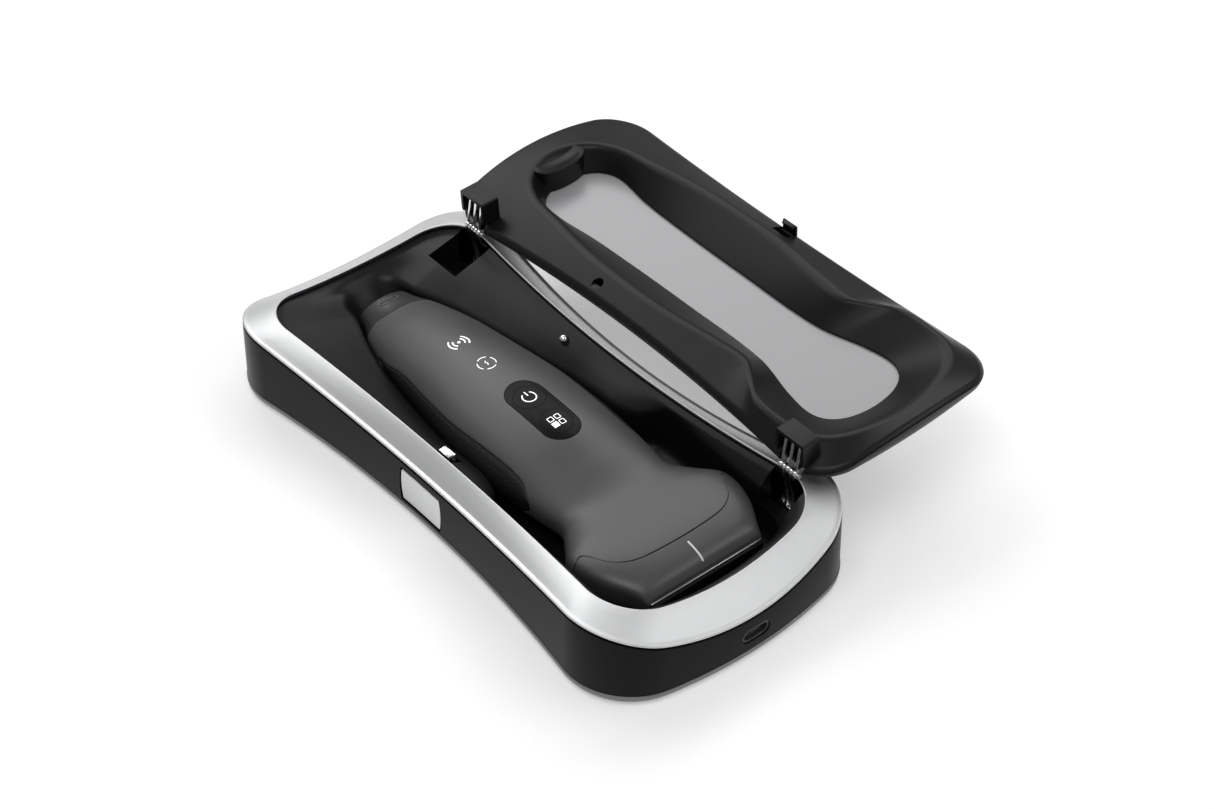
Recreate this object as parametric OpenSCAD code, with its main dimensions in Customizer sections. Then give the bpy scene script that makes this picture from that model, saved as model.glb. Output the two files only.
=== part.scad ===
// Pocket ultrasound probe docked in its charging case, with the hinged lid laid open.
// X runs along the case with the charging port at +X, the latch is at -Y, the hinges at +Y.
// The origin is the centre of the non-slip pad that the case stands on, and Z is up.

/* [Case] */
// Room between the tail of the probe and the end of the case
tail_room = 26; // [24:0.5:30]
// Room between the nose of the probe and the end of the case
nose_room = 22; // [20:0.5:26]
// Width of the case across its waist
case_waist = 85; // [83:1:92]
// Radius of each rounded end, in plan
case_end_radius = 151; // [135:1:175]
// Radius of each hollow long side, in plan
case_side_radius = 495; // [440:5:600]
// Radius of the four corners, in plan
case_corner_radius = 22.3; // [20:0.1:25]
// Thickness of the black side wall
wall = 2.2; // [1.6:0.1:2.6]
// Thickness of the non-slip pad under the case
pad_height = 0.8; // [0.6:0.1:1.2]
// Height of the bright trim ring round the underside
trim_height = 2.8; // [2.2:0.1:3.4]

/* [Rim] */
// Height of the wall's dished top edge, carried on to the middle of the case
rim_low = 10.8; // [9.5:0.1:12]
// Radius of the dished edge along the case
rim_long_radius = 1105; // [900:5:1500]
// Radius of the dished edge across the case
rim_cross_radius = 93.3; // [85:0.1:110]
// Height of the bezel's inner lip, carried on to the middle of the case
lip_low = 21.3; // [20.8:0.1:22]
// Radius of the inner lip along the case
lip_long_radius = 2000; // [1600:10:3000]
// Radius of the inner lip across the case
lip_cross_radius = 123.5; // [115:0.5:140]

/* [Bezel] */
// Width of the bezel at the two ends
bezel_end = 11.2; // [10:0.1:12]
// Width of the bezel at the waist
bezel_side = 7.6; // [7:0.1:8.2]
// Radius of the bezel's inner edge at the ends
lip_end_radius = 198; // [170:1:230]
// Radius of the bezel's inner edge along the sides
lip_side_radius = 733; // [650:1:800]
// Radius of the bezel's inner corners
lip_corner_radius = 16; // [14:0.1:18]

/* [Lid] */
// Height of the closed lid's flat crown over the underside
lid_crown = 33.2; // [33:0.1:34]
// Radius of the crown along the lid
crown_long_radius = 3700; // [3000:50:6000]
// Radius of the crown across the lid
crown_cross_radius = 1250; // [1000:50:2500]
// Gap between the closed lid and the bezel
lid_gap = 0.4; // [0.3:0.05:0.6]
// Thickness of the lid's outer shell
lid_wall = 1.6; // [1.2:0.1:1.8]
// Opening angle at which the lid is drawn
lid_open = 177; // [170:1:178]

/* [Probe] */
// Length of the probe's housing, from the tail to the lens
probe_length = 162; // [158:1:163]
// Width of the probe's head
head_width = 62; // [58:0.5:62]
// Greatest width of the hand-held body
belly_width = 48; // [44:0.5:48.5]
// Height of the back of the probe over its parting plane
probe_rise = 12.8; // [11.5:0.1:13]
// Depth of the front of the probe under its parting plane
probe_drop = 9.2; // [8.5:0.1:9.3]
// Height of the parting plane over the underside
probe_mid = 15.9; // [15.8:0.1:16.5]

/* [Keys] */
// Length of the key panel
panel_length = 30; // [28:0.5:32]
// Width of the key panel
panel_width = 13.3; // [12.5:0.1:14]
// Travel of each key
key_travel = 0.5; // [0.3:0.1:0.6]

/* [Latch] */
// Width of the release button
button_width = 20; // [18:0.5:21]
// Travel of the release button
latch_travel = 1.5; // [1.3:0.1:1.6]

/* [Hinge] */
// Distance of each hinge from the end of the case
hinge_room = 28; // [27:0.5:30]
// Distance of the hinge axis from the middle plane
hinge_y = 37.87; // [37.7:0.01:38]
// Height of the hinge axis over the underside
hinge_z = 30.6; // [30.4:0.1:30.8]
// Diameter of the hinge pins
pin_d = 1.4; // [1.2:0.1:1.5]

/* [Hidden] */

$fn = 48;
// Points round the case's rings and round the smoother inner rings
rim_points = 96;
tray_points = 72;
// Clearance of seats, of small fits and of running fits
seat_gap = 0.3;
fit_gap = 0.2;
run_gap = 0.05;
// Overrun of every cut
over = 1;
// Shadow line between the side wall and the bezel
shadow_gap = 0.6;
// Draft of the side wall
wall_draft = 0.5;

// Length of the case over its rounded ends, and the places of the probe and the hinges in it
case_length = probe_length + tail_room + nose_room;
probe_tail = tail_room - case_length / 2;
probe_nose = probe_tail + probe_length;
hinge_x = case_length / 2 - hinge_room;

// Plan outlines as [half length, end radius, half waist, side radius, corner radius]
case_plan = [case_length / 2, case_end_radius, case_waist / 2, case_side_radius, case_corner_radius];
lip_plan = [case_length / 2 - bezel_end, lip_end_radius, case_waist / 2 - bezel_side, lip_side_radius,
    lip_corner_radius];
lid_plan = inset(lip_plan, lid_gap);

plate_z = pad_height;
wall_z = pad_height + trim_height;

// An outline drawn in by a distance
function inset(o, d) = [o[0] - d, o[1] - d, o[2] - d, o[3] + d, o[4] - d];

// Centre of the corner arc that joins the side arc to the end arc
function corner_centre(o) =
    let (side = [0, o[2] + o[3]], end = [o[0] - o[1], 0])
    let (r1 = o[3] + o[4], r2 = o[1] - o[4], d = norm(end - side))
    let (a = (r1 * r1 - r2 * r2 + d * d) / (2 * d), h = sqrt(r1 * r1 - a * a), u = (end - side) / d)
    side + a * u + h * [-u.y, u.x];

// Half width of an outline at a distance x from its middle
function edge_y(o, x) =
    let (c = corner_centre(o), side = [0, o[2] + o[3]], end = [o[0] - o[1], 0])
    let (t1 = side + (c - side) * o[3] / (o[3] + o[4]), t2 = end + (c - end) * o[1] / (o[1] - o[4]))
    x < t1.x ? side.y - sqrt(o[3] * o[3] - x * x)
    : x < t2.x ? c.y + sqrt(max(0, o[4] * o[4] - (x - c.x) * (x - c.x)))
    : sqrt(max(0, o[1] * o[1] - (x - end.x) * (x - end.x)));

// A closed plan ring of n points on an outline
function plan_ring(o, n) = [for (i = [0:n - 1])
    let (a = 360 * i / n, x = o[0] * cos(a))
    [x, sign(sin(a)) * (abs(sin(a)) < 0.001 ? 0 : edge_y(o, abs(x)))]];

// Dished heights of the wall's top edge, of the inner lip and of the lid's crown
function rim_z(p) = rim_low + p.x * p.x / (2 * rim_long_radius) + p.y * p.y / (2 * rim_cross_radius);
function lip_z(p) = lip_low + p.x * p.x / (2 * lip_long_radius) + p.y * p.y / (2 * lip_cross_radius);
function crown_z(p) = lid_crown - p.x * p.x / (2 * crown_long_radius) - p.y * p.y / (2 * crown_cross_radius);

// Plan rings raised to a fixed height, to the wall's edge, to the lip and to the crown
function flat_ring(r, z) = [for (p = r) [p.x, p.y, z]];
function rim_ring(r, dz) = [for (p = r) [p.x, p.y, rim_z(p) + dz]];
function lip_ring(r, dz) = [for (p = r) [p.x, p.y, lip_z(p) + dz]];
function crown_ring(r, dz) = [for (p = r) [p.x, p.y, crown_z(p) + dz]];
// A ring part of the way from the lip up to the crown
function dome_ring(r, k, dz) = [for (p = r) [p.x, p.y, lip_z(p) + k * (crown_z(p) - lip_z(p)) + dz]];

// Smooth curve through hand-set keys [place, value]
function key_slope(k, i) =
    let (a = max(i - 1, 0), b = min(i + 1, len(k) - 1))
    (k[b][1] - k[a][1]) / (k[b][0] - k[a][0]);
function curve(k, t) =
    let (s = min(max(t, k[0][0]), k[len(k) - 1][0]))
    let (i = max([for (j = [0:len(k) - 2]) if (j == 0 || k[j][0] <= s) j]))
    let (h = k[i + 1][0] - k[i][0], u = (s - k[i][0]) / h)
    (2 * u * u * u - 3 * u * u + 1) * k[i][1] + (u * u * u - 2 * u * u + u) * h * key_slope(k, i)
    + (3 * u * u - 2 * u * u * u) * k[i + 1][1] + (u * u * u - u * u) * h * key_slope(k, i + 1);

// Faces between two neighbouring rings
function band_faces(a, b, n) = [for (i = [0:n - 1], t = [0, 1])
    let (k = (i + 1) % n)
    t == 0 ? [a * n + i, b * n + i, b * n + k] : [a * n + i, b * n + k, a * n + k]];

// Triangles across a ring, from each point to the one that mirrors it, so that a cap may be curved
function cap_faces(a, n, turned) = [for (i = [0:n / 2 - 1], t = [0, 1])
    let (j = (n - i) % n, k = n - i - 1)
    let (f = t == 0 ? [i, i + 1, k] : [i, k, j])
    if (f[0] != f[1] && f[1] != f[2] && f[0] != f[2])
        turned ? [a * n + f[2], a * n + f[1], a * n + f[0]] : [for (v = f) a * n + v]];

// Solid over rings, with a flat or a curved cap on the first and the last
module skin(rings, flat = true) {
    n = len(rings[0]);
    m = len(rings);
    polyhedron(
        points = [for (r = rings) each r],
        faces = concat(
            flat ? [[for (i = [0:n - 1]) i]] : cap_faces(0, n, false),
            [for (j = [0:m - 2]) each band_faces(j, j + 1, n)],
            flat ? [[for (i = [n - 1:-1:0]) (m - 1) * n + i]] : cap_faces(m - 1, n, true)));
}

// Solid between rings that close on themselves, as a frame does
module band(rings) {
    n = len(rings[0]);
    m = len(rings);
    polyhedron(
        points = [for (r = rings) each r],
        faces = [for (j = [0:m - 1]) each band_faces(j, (j + 1) % m, n)]);
}

module box(x0, x1, y0, y1, z0, z1) {
    translate([x0, y0, z0]) cube([x1 - x0, y1 - y0, z1 - z0]);
}

// A disc or a bore along Z, from z0 to z1
module post(x, y, z0, z1, d) {
    translate([x, y, z0]) cylinder(h = z1 - z0, d = d);
}

// A pin or a bore along X, from x0 to x1
module bar(x0, x1, y, z, d) {
    translate([x0, y, z]) rotate([0, 90, 0]) cylinder(h = x1 - x0, d = d);
}

// A rounded block along Z
module slab(x0, x1, y0, y1, z0, z1, r) {
    translate([0, 0, z0]) linear_extrude(z1 - z0) rounded(x0, x1, y0, y1, r);
}
module rounded(x0, x1, y0, y1, r) {
    translate([x0 + r, y0]) square([x1 - x0 - 2 * r, y1 - y0]);
    translate([x0, y0 + r]) square([x1 - x0, y1 - y0 - 2 * r]);
    for (x = [x0 + r, x1 - r], y = [y0 + r, y1 - r]) translate([x, y]) circle(r = r);
}

// Copies a piece to both sides of the middle
module both_x(d) {
    for (s = [-1, 1]) translate([s * d, 0, 0]) children();
}

// Turns a piece of the closed lid to the open lid
module opened() {
    translate([0, hinge_y, hinge_z]) rotate([-lid_open, 0, 0]) translate([0, -hinge_y, -hinge_z]) children();
}

// Underside

base_pad_in = 16;
trim_width = 5.2;
trim_flare = 0.7;
trim_in = 0.9;
plate_thickness = 1.8;
plate_screw_d = 4.2;
plate_screw_head = 1;
plate_screw_shank = 2;
plate_screw_length = 4.6;
plate_screw_in = 13;
plate_screw_x = case_length / 2 - plate_screw_in;
plate_screw_y = 30;

module base_pad() {
    color("#2a2a2b") linear_extrude(pad_height) polygon(plan_ring(inset(case_plan, base_pad_in), tray_points));
}

module bottom_plate() {
    plan = plan_ring(inset(case_plan, trim_width + fit_gap - wall_draft), rim_points);
    color("#1b1b1d") difference() {
        translate([0, 0, plate_z]) linear_extrude(plate_thickness) polygon(plan);
        for (x = [-plate_screw_x, plate_screw_x], y = [-plate_screw_y, plate_screw_y]) {
            post(x, y, plate_z - over, plate_z + plate_screw_head, plate_screw_d + 2 * run_gap);
            post(x, y, plate_z - over, plate_z + trim_height, plate_screw_shank + 2 * run_gap);
        }
    }
}

module bottom_screws() {
    color("silver") for (x = [-plate_screw_x, plate_screw_x], y = [-plate_screw_y, plate_screw_y]) {
        post(x, y, plate_z, plate_z + plate_screw_head, plate_screw_d);
        post(x, y, plate_z, plate_z + plate_screw_length, plate_screw_shank);
    }
}

module bottom_trim() {
    outer = plan_ring(inset(case_plan, -trim_flare), rim_points);
    lower = plan_ring(inset(case_plan, trim_in - trim_flare), rim_points);
    inner = plan_ring(inset(case_plan, trim_width - wall_draft), rim_points);
    color("#c9cacc") band([flat_ring(lower, plate_z), flat_ring(outer, plate_z + trim_height / 2),
        flat_ring(outer, wall_z), flat_ring(inner, wall_z), flat_ring(inner, plate_z)]);
}

// Side wall

flange_width = 8;
flange_height = 1.6;
boss_d = 7;
boss_height = 5;
button_low = 5.2;
button_high = 17.2;
button_round = 26;
button_gap = 0.6;
port_width = 8.9;
port_height = 3.3;
port_z = 9;
port_round = 1.6;
port_bezel = 0.8;

// The button's outline with bowed ends, seen from the front
module button_outline(grow) {
    h = button_high - button_low + 2 * grow;
    w = button_width + 2 * grow;
    intersection() {
        translate([-w / 2, button_low - grow]) square([w, h]);
        translate([w / 2 - button_round, (button_low + button_high) / 2]) circle(r = button_round, $fn = 120);
        translate([button_round - w / 2, (button_low + button_high) / 2]) circle(r = button_round, $fn = 120);
    }
}

module port_outline(grow) {
    rounded(-port_width / 2 - grow, port_width / 2 + grow, port_z - port_height / 2 - grow,
        port_z + port_height / 2 + grow, port_round + grow);
}

module side_wall() {
    low = plan_ring(inset(case_plan, -wall_draft), rim_points);
    high = plan_ring(case_plan, rim_points);
    within = plan_ring(inset(case_plan, wall), rim_points);
    ledge = plan_ring(inset(case_plan, flange_width), rim_points);
    color("#141416") difference() {
        union() {
            band([flat_ring(low, wall_z), rim_ring(high, -shadow_gap), rim_ring(within, -shadow_gap),
                flat_ring(within, wall_z + flange_height), flat_ring(ledge, wall_z + flange_height),
                flat_ring(ledge, wall_z)]);
            for (x = [-plate_screw_x, plate_screw_x], y = [-plate_screw_y, plate_screw_y])
                post(x, y, wall_z, wall_z + boss_height, boss_d);
        }
        translate([0, -case_waist / 2 + 2 * wall, 0]) rotate([90, 0, 0]) linear_extrude(4 * wall)
            button_outline(button_gap);
        translate([case_length / 2 - 2 * wall, 0, 0]) rotate([90, 0, 90]) linear_extrude(4 * wall)
            port_outline(port_bezel + run_gap);
        for (x = [-plate_screw_x, plate_screw_x], y = [-plate_screw_y, plate_screw_y])
            post(x, y, wall_z - over, plate_z + plate_screw_length, plate_screw_shank + 2 * run_gap);
    }
}

// Bezel

bezel_bead = 0.9;
bezel_edge = 0.35;
bezel_tuck = 0.9;
lip_depth = 1.6;
skirt_width = 1.2;
skirt_depth = 3;

module bezel() {
    skirt = wall + seat_gap;
    color("#c9cacc") band([
        rim_ring(plan_ring(inset(case_plan, bezel_edge), rim_points), 0),
        rim_ring(plan_ring(case_plan, rim_points), bezel_edge),
        rim_ring(plan_ring(inset(case_plan, bezel_edge), rim_points), bezel_bead),
        lip_ring(plan_ring(inset(lip_plan, -bezel_edge), rim_points), 0),
        lip_ring(plan_ring(lip_plan, rim_points), -bezel_edge),
        lip_ring(plan_ring(inset(lip_plan, -bezel_tuck), rim_points), -lip_depth),
        rim_ring(plan_ring(inset(case_plan, skirt + skirt_width), rim_points), -skirt_depth),
        rim_ring(plan_ring(inset(case_plan, skirt), rim_points), -skirt_depth),
        rim_ring(plan_ring(inset(case_plan, skirt), rim_points), 0)]);
}

// Tray

// Half width of the recess along the case, as [share of half length, share of half head width]
recess_shares = [[-1.02, 0.4], [-0.944, 0.375], [-0.888, 0.365], [-0.863, 0.37], [-0.76, 0.47],
    [-0.7, 0.525], [-0.61, 0.585], [-0.53, 0.63], [-0.407, 0.685], [-0.256, 0.745], [-0.12, 0.79],
    [-0.03, 0.795], [0.04, 0.8], [0.1, 0.805], [0.163, 0.845], [0.217, 0.925], [0.25, 1.01],
    [0.3, 1.075], [0.5, 1.07], [0.7, 1.06], [1, 1.06]];
// Height of the recess's edge along the case, as shares of the inner lip's height
brim_shares = [[-1.02, 0.88], [-0.87, 0.87], [-0.7, 0.83], [-0.53, 0.785], [-0.41, 0.765],
    [-0.256, 0.765], [-0.12, 0.785], [-0.04, 0.82], [0.04, 0.845], [0.163, 0.86], [0.217, 0.89],
    [0.25, 0.95], [0.3, 1], [0.5, 1], [0.7, 0.98], [1, 0.92]];
// Distance of the recesses' ends from the middle of the case
tray_margin = 4.8;
recess_half = case_length / 2 - bezel_end - tray_margin;
// How square the recesses' ends are
end_power = 20;
lid_end_power = 14;
scoop_room = 10.8;
head_room = 6.5;
recess_tail = probe_tail - scoop_room;
recess_head = probe_nose + head_room;
tray_wall = 1.4;
tray_lap = 0.5;
tray_seat = 0.4;
groove_in = 1.6;
groove_deep = 1;
// Where the tray's soft shoulder lies between the groove and the recess, and how far it swells
soft_share = 0.45;
soft_rise = 0.35;
recess_draft = 1;
scoop_in = 4.5;
scoop_mid = 8.3;
scoop_end = 9.6;
scoop_z = 12.8;
floor_in = 4.4;
floor_gap = 0.3;
floor_z = probe_mid - probe_drop - floor_gap;
floor_rise = 2.2;

// Half width of the recess at x
function recess_w(x) = head_width / 2 * curve(recess_shares, x / recess_half);
function brim_z(x) = lip_low * curve(brim_shares, x / recess_half);

// Plan ring between two ends whose half width follows a function of x, drawn in by d
function pocket_ring(x0, x1, d, n) = [for (i = [0:n - 1])
    let (a = 360 * i / n, u = cos(a), x = (x0 + x1) / 2 + (x1 - x0 - 2 * d) / 2 * u)
    [x, sign(sin(a)) * (recess_w(x) - d) * sqrt(max(0, 1 - pow(abs(u), end_power)))]];
// The recess's outline with its tail moved in by t and the whole drawn in by d
function pocket(t, d) = pocket_ring(recess_tail + t, recess_head, d, tray_points);
function brim_ring(r, dz) = [for (p = r) [p.x, p.y, brim_z(p.x) + dz]];
// A ring part of the way from one to another
function mid_ring(a, b, k) = [for (i = [0:len(a) - 1]) a[i] + k * (b[i] - a[i])];

pocket_width = 14;
pocket_radius = 16.6;
pocket_wall = 1.2;
arm_slot = 3.4;
stud_x = -21;
stud_y = 30.6;
stud_z = 22.4;
stud_d = 3.2;
stud_shank = 1.8;
stud_depth = 3.4;

// Walls round the two pockets that the lid's hinge housings swing in
module pocket_walls() {
    sunk = tray_wall / 2;
    outer = plan_ring(inset(lip_plan, sunk), tray_points);
    groove = plan_ring(inset(lip_plan, groove_in), tray_points);
    intersection() {
        band([
            flat_ring(outer, scoop_z),
            lip_ring(outer, -lip_depth - tray_seat - sunk),
            lip_ring(groove, -lip_depth - groove_deep - sunk),
            brim_ring(pocket(0, -sunk), -tray_wall),
            flat_ring(pocket(scoop_in, recess_draft / 2 - sunk), scoop_z)]);
        both_x(hinge_x) bar(-pocket_width / 2 - pocket_wall, pocket_width / 2 + pocket_wall, hinge_y,
            hinge_z, 2 * (pocket_radius + pocket_wall));
    }
}

module tray() {
    outer = plan_ring(inset(lip_plan, -tray_lap), tray_points);
    groove = plan_ring(inset(lip_plan, groove_in), tray_points);
    brim = brim_ring(pocket(0, 0), 0);
    rim = lip_ring(outer, -lip_depth - tray_seat);
    dip = lip_ring(groove, -lip_depth - groove_deep);
    soft = [for (p = mid_ring(dip, brim, soft_share)) [p.x, p.y, p.z + soft_rise]];
    color("#202022") difference() {
        union() {
            skin([
                flat_ring(pocket(scoop_end, floor_in - tray_wall), floor_z - tray_wall),
                flat_ring(pocket(scoop_mid, recess_draft - tray_wall), floor_z + floor_rise - tray_wall),
                flat_ring(pocket(scoop_in, recess_draft / 2 - tray_wall), scoop_z - tray_wall),
                brim_ring(pocket(0, -tray_wall), -2 * tray_wall),
                [for (p = dip) [p.x, p.y, p.z - tray_wall]],
                [for (p = rim) [p.x, p.y, p.z - tray_wall]],
                rim, dip, soft, brim,
                flat_ring(pocket(scoop_in, recess_draft / 2), scoop_z),
                flat_ring(pocket(scoop_mid, recess_draft), floor_z + floor_rise),
                flat_ring(pocket(scoop_end, floor_in), floor_z)]);
            post(stud_x, stud_y, stud_z - stud_depth - tray_wall, stud_z - tray_wall, stud_d + tray_wall);
            pocket_walls();
        }
        both_x(hinge_x) bar(-pocket_width / 2, pocket_width / 2, hinge_y, hinge_z, 2 * pocket_radius);
        box(-arm_slot, arm_slot, -lip_slot_out, -lip_slot_in, floor_z, lid_crown);
        post(stud_x, stud_y, stud_z - stud_depth, stud_z + over, stud_shank + 2 * run_gap);
        post(stud_x, stud_y, stud_z - run_gap, stud_z + stud_depth, stud_d + 2 * fit_gap);
    }
}

module sensor_stud() {
    color("silver") {
        post(stud_x, stud_y, stud_z - stud_depth + fit_gap, stud_z + run_gap, stud_shank);
        translate([stud_x, stud_y, stud_z]) intersection() {
            sphere(d = stud_d);
            translate([-stud_d, -stud_d, 0]) cube(2 * stud_d);
        }
    }
}

// Latch

button_plate = 1.2;
arm_low = 13.6;
arm_high = 15.6;
arm_half = 2.6;
nose_half = 2.4;
upright_in = 30.6;
upright_out = 31.9;
nose_out = 33.3;
nose_low = 22.6;
nose_high = 24.6;
lip_slot_in = upright_in - latch_travel - fit_gap;
lip_slot_out = case_waist / 2 - bezel_side - fit_gap;
guide_width = 9;
guide_length = 4;
guide_wall = 1.2;
guide_y = 38.1;

module latch_button() {
    front = case_waist / 2 + wall_draft;
    color("#d5d6d8") intersection() {
        translate([0, -front + 2 * button_plate, 0]) rotate([90, 0, 0]) linear_extrude(3 * button_plate)
            button_outline(0);
        translate([0, 0, button_low]) linear_extrude(button_high - button_low) difference() {
            polygon(plan_ring(inset(case_plan, -wall_draft / 2), rim_points));
            polygon(plan_ring(inset(case_plan, button_plate - wall_draft / 2), rim_points));
        }
    }
}

module latch_arm() {
    back = case_waist / 2 - button_plate + wall_draft / 2;
    color("silver") {
        box(-arm_half, arm_half, -back, -upright_in, arm_low, arm_high);
        box(-arm_half, arm_half, -upright_out, -upright_in, arm_high, nose_high);
        box(-nose_half, nose_half, -nose_out, -upright_out, nose_low, nose_high);
    }
}

// Coil spring between the button and its guide
spring_d = 4.2;
spring_wire = 0.6;
spring_turns = 4;
spring_steps = 10;
spring_sides = 5;
spring_z = 9.4;

module latch_spring() {
    y0 = -case_waist / 2 + button_plate - wall_draft / 2 + spring_wire / 2 + fit_gap / 2;
    y1 = -guide_y - spring_wire / 2 - fit_gap / 2;
    n = spring_turns * spring_steps;
    color("gainsboro") skin([for (i = [0:n])
        let (a = 360 * i / spring_steps, y = y0 + (y1 - y0) * i / n)
        [for (k = [0:spring_sides - 1])
            let (b = 360 * k / spring_sides, r = spring_d / 2 + spring_wire / 2 * cos(b))
            [r * cos(a), y + spring_wire / 2 * sin(b), spring_z + r * sin(a)]]]);
}

module latch_guide() {
    y0 = -guide_y;
    y1 = -guide_y + guide_length;
    color("#2a2a2c") difference() {
        box(-guide_width / 2, guide_width / 2, y0, y1, wall_z + flange_height,
            arm_high + seat_gap + guide_wall);
        box(-arm_half - seat_gap, arm_half + seat_gap, y0 - over, y1 + over, arm_low - seat_gap,
            arm_high + seat_gap);
    }
}

// Charging port and the electronics under the tray

socket_depth = 7.4;
socket_wall = 0.3;
tongue_height = 0.7;
tongue_width = 6.6;
tongue_back = 1.6;
board_thickness = 1;
board_in = 3.4;
board_length = 9;
board_width = 44;
chip_length = 5;
chip_width = 7;
coil_d = 34;
coil_bore = 16;
coil_height = 0.7;
coil_place = 0.4;
coil_x = probe_tail + coil_place * probe_length;
ferrite_margin = 2;
ferrite_height = 0.5;
cell_length = 28;
cell_width = 15;
cell_height = 8;
cell_room = 32;
cell_x = case_length / 2 - cell_room;
cell_y = 29.5;
cell_round = 1.5;

module port_socket() {
    x1 = case_length / 2 - wall;
    x0 = x1 - socket_depth;
    color("silver") {
        difference() {
            translate([x0, 0, 0]) rotate([90, 0, 90]) linear_extrude(socket_depth) port_outline(0);
            translate([x0 + tongue_back, 0, 0]) rotate([90, 0, 90]) linear_extrude(socket_depth)
                port_outline(-socket_wall);
        }
        box(x0 + tongue_back, x1 - tongue_back, -tongue_width / 2, tongue_width / 2,
            port_z - tongue_height / 2, port_z + tongue_height / 2);
    }
}

module port_frame() {
    color("#3a3a3d") intersection() {
        translate([case_length / 2 - wall, 0, 0]) rotate([90, 0, 90]) linear_extrude(2 * wall) difference() {
            port_outline(port_bezel);
            port_outline(run_gap);
        }
        translate([0, 0, wall_z]) linear_extrude(lip_low) polygon(plan_ring(case_plan, rim_points));
    }
}

module charger_board() {
    x1 = case_length / 2 - wall - board_in;
    z1 = port_z - port_height / 2 - run_gap;
    color("#1f5a3a") box(x1 - board_length, x1, -board_width / 2, board_width / 2, z1 - board_thickness, z1);
    color("#2b2b2d") for (y = [-board_width / 3, board_width / 3])
        box(x1 - board_length, x1 - board_length + chip_length, y - chip_width / 2, y + chip_width / 2,
            plate_z + plate_thickness, z1 - board_thickness);
}

module charge_coil() {
    z0 = plate_z + plate_thickness + ferrite_height;
    color("#b87333") difference() {
        post(coil_x, 0, z0, z0 + coil_height, coil_d);
        post(coil_x, 0, z0 - over, z0 + coil_height + over, coil_bore);
    }
}

module coil_ferrite() {
    z0 = plate_z + plate_thickness;
    half = coil_d / 2 + ferrite_margin;
    color("#3c3c40") slab(coil_x - half, coil_x + half, -half, half, z0, z0 + ferrite_height, ferrite_margin);
}

module case_batteries() {
    z0 = plate_z + plate_thickness;
    color("#7d8aa0") for (y = [-cell_y, cell_y])
        slab(-cell_x - cell_length / 2, -cell_x + cell_length / 2, y - cell_width / 2, y + cell_width / 2, z0,
            z0 + cell_height, cell_round);
}

// Hinges

leaf_thickness = 1;
leaf_pitch = 1.5;
ear = 1.3;
arm_foot_in = 39.8;
arm_room = 1.8;
arm_foot_out = edge_y(case_plan, hinge_x) - wall - seat_gap - skirt_width - arm_room;
arm_foot_z = 14.4;
arm_foot_high = 21;
arm_base_half = 5;
arm_base_thickness = 1.4;
leaf_foot = 3.6;
pin_half = 4.4;
hinge_screw_d = 2.4;
hinge_screw_head = 0.7;
hinge_screw_shank = 1.4;
hinge_screw_length = 3;

// One fixed arm, from its foot under the bezel up to the pin
module hinge_arm() {
    rotate([90, 0, 90]) linear_extrude(leaf_thickness) difference() {
        union() {
            translate([hinge_y, hinge_z]) circle(r = ear);
            polygon([[hinge_y - ear, hinge_z], [hinge_y - ear, hinge_z - 3 * ear],
                [arm_foot_in - ear, arm_foot_high], [arm_foot_in - ear, arm_foot_z], [arm_foot_out, arm_foot_z],
                [arm_foot_out, arm_foot_high], [hinge_y + ear, hinge_z - 4 * ear],
                [hinge_y + ear / 2, hinge_z - 3 * ear], [hinge_y + ear / 2, hinge_z]]);
        }
        translate([hinge_y, hinge_z]) circle(d = pin_d + 2 * run_gap);
    }
}

module hinge_arms() {
    color("silver") both_x(hinge_x) {
        for (k = [-1, 1]) translate([k * leaf_pitch - leaf_thickness / 2, 0, 0]) hinge_arm();
        difference() {
            box(-arm_base_half, arm_base_half, arm_foot_in - ear, arm_foot_out, arm_foot_z - arm_base_thickness,
                arm_foot_z);
            for (s = [-1, 1])
                post(s * (arm_base_half - hinge_screw_d / 2), (arm_foot_in + arm_foot_out - ear) / 2,
                    arm_foot_z - arm_base_thickness - over, arm_foot_z + over, hinge_screw_shank + 2 * run_gap);
        }
    }
}

module hinge_pins() {
    color("gainsboro") both_x(hinge_x) bar(-pin_half, pin_half, hinge_y, hinge_z, pin_d);
}

module hinge_screws() {
    color("silver") both_x(hinge_x) for (s = [-1, 1])
        translate([s * (arm_base_half - hinge_screw_d / 2), (arm_foot_in + arm_foot_out - ear) / 2, 0]) {
            post(0, 0, arm_foot_z, arm_foot_z + hinge_screw_head, hinge_screw_d);
            post(0, 0, arm_foot_z + hinge_screw_head - hinge_screw_length, arm_foot_z + run_gap,
                hinge_screw_shank);
        }
}

// The lid's own leaves, between and outside the fixed arms, drawn closed and then opened
module lid_leaves() {
    color("gainsboro") opened() both_x(hinge_x) for (k = [-2, 0, 2])
        translate([k * leaf_pitch - leaf_thickness / 2, 0, 0]) rotate([90, 0, 90]) linear_extrude(leaf_thickness)
            difference() {
                union() {
                    translate([hinge_y, hinge_z]) circle(r = ear);
                    polygon([[hinge_y - ear, hinge_z], [housing_in + housing_wall, housing_z + housing_wall],
                        [housing_in + housing_wall + leaf_foot, housing_z + housing_wall],
                        [hinge_y + ear / 4, hinge_z - ear]]);
                }
                translate([hinge_y, hinge_z]) circle(d = pin_d + 2 * run_gap);
            }
}

// Lid

housing_in = 31.4;
housing_z = 17.2;
housing_wall = 1.3;
housing_out = 38.1;
housing_top = 25.5;
latch_room = 1.2;
stud_room = 2;
housing_half = 6;
notch_half = 4.9;
notch_in = 33.6;
liner_wall = 1.5;
liner_lip = 1.2;
window_z = 30.3;
window_seat = 1.2;

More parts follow.
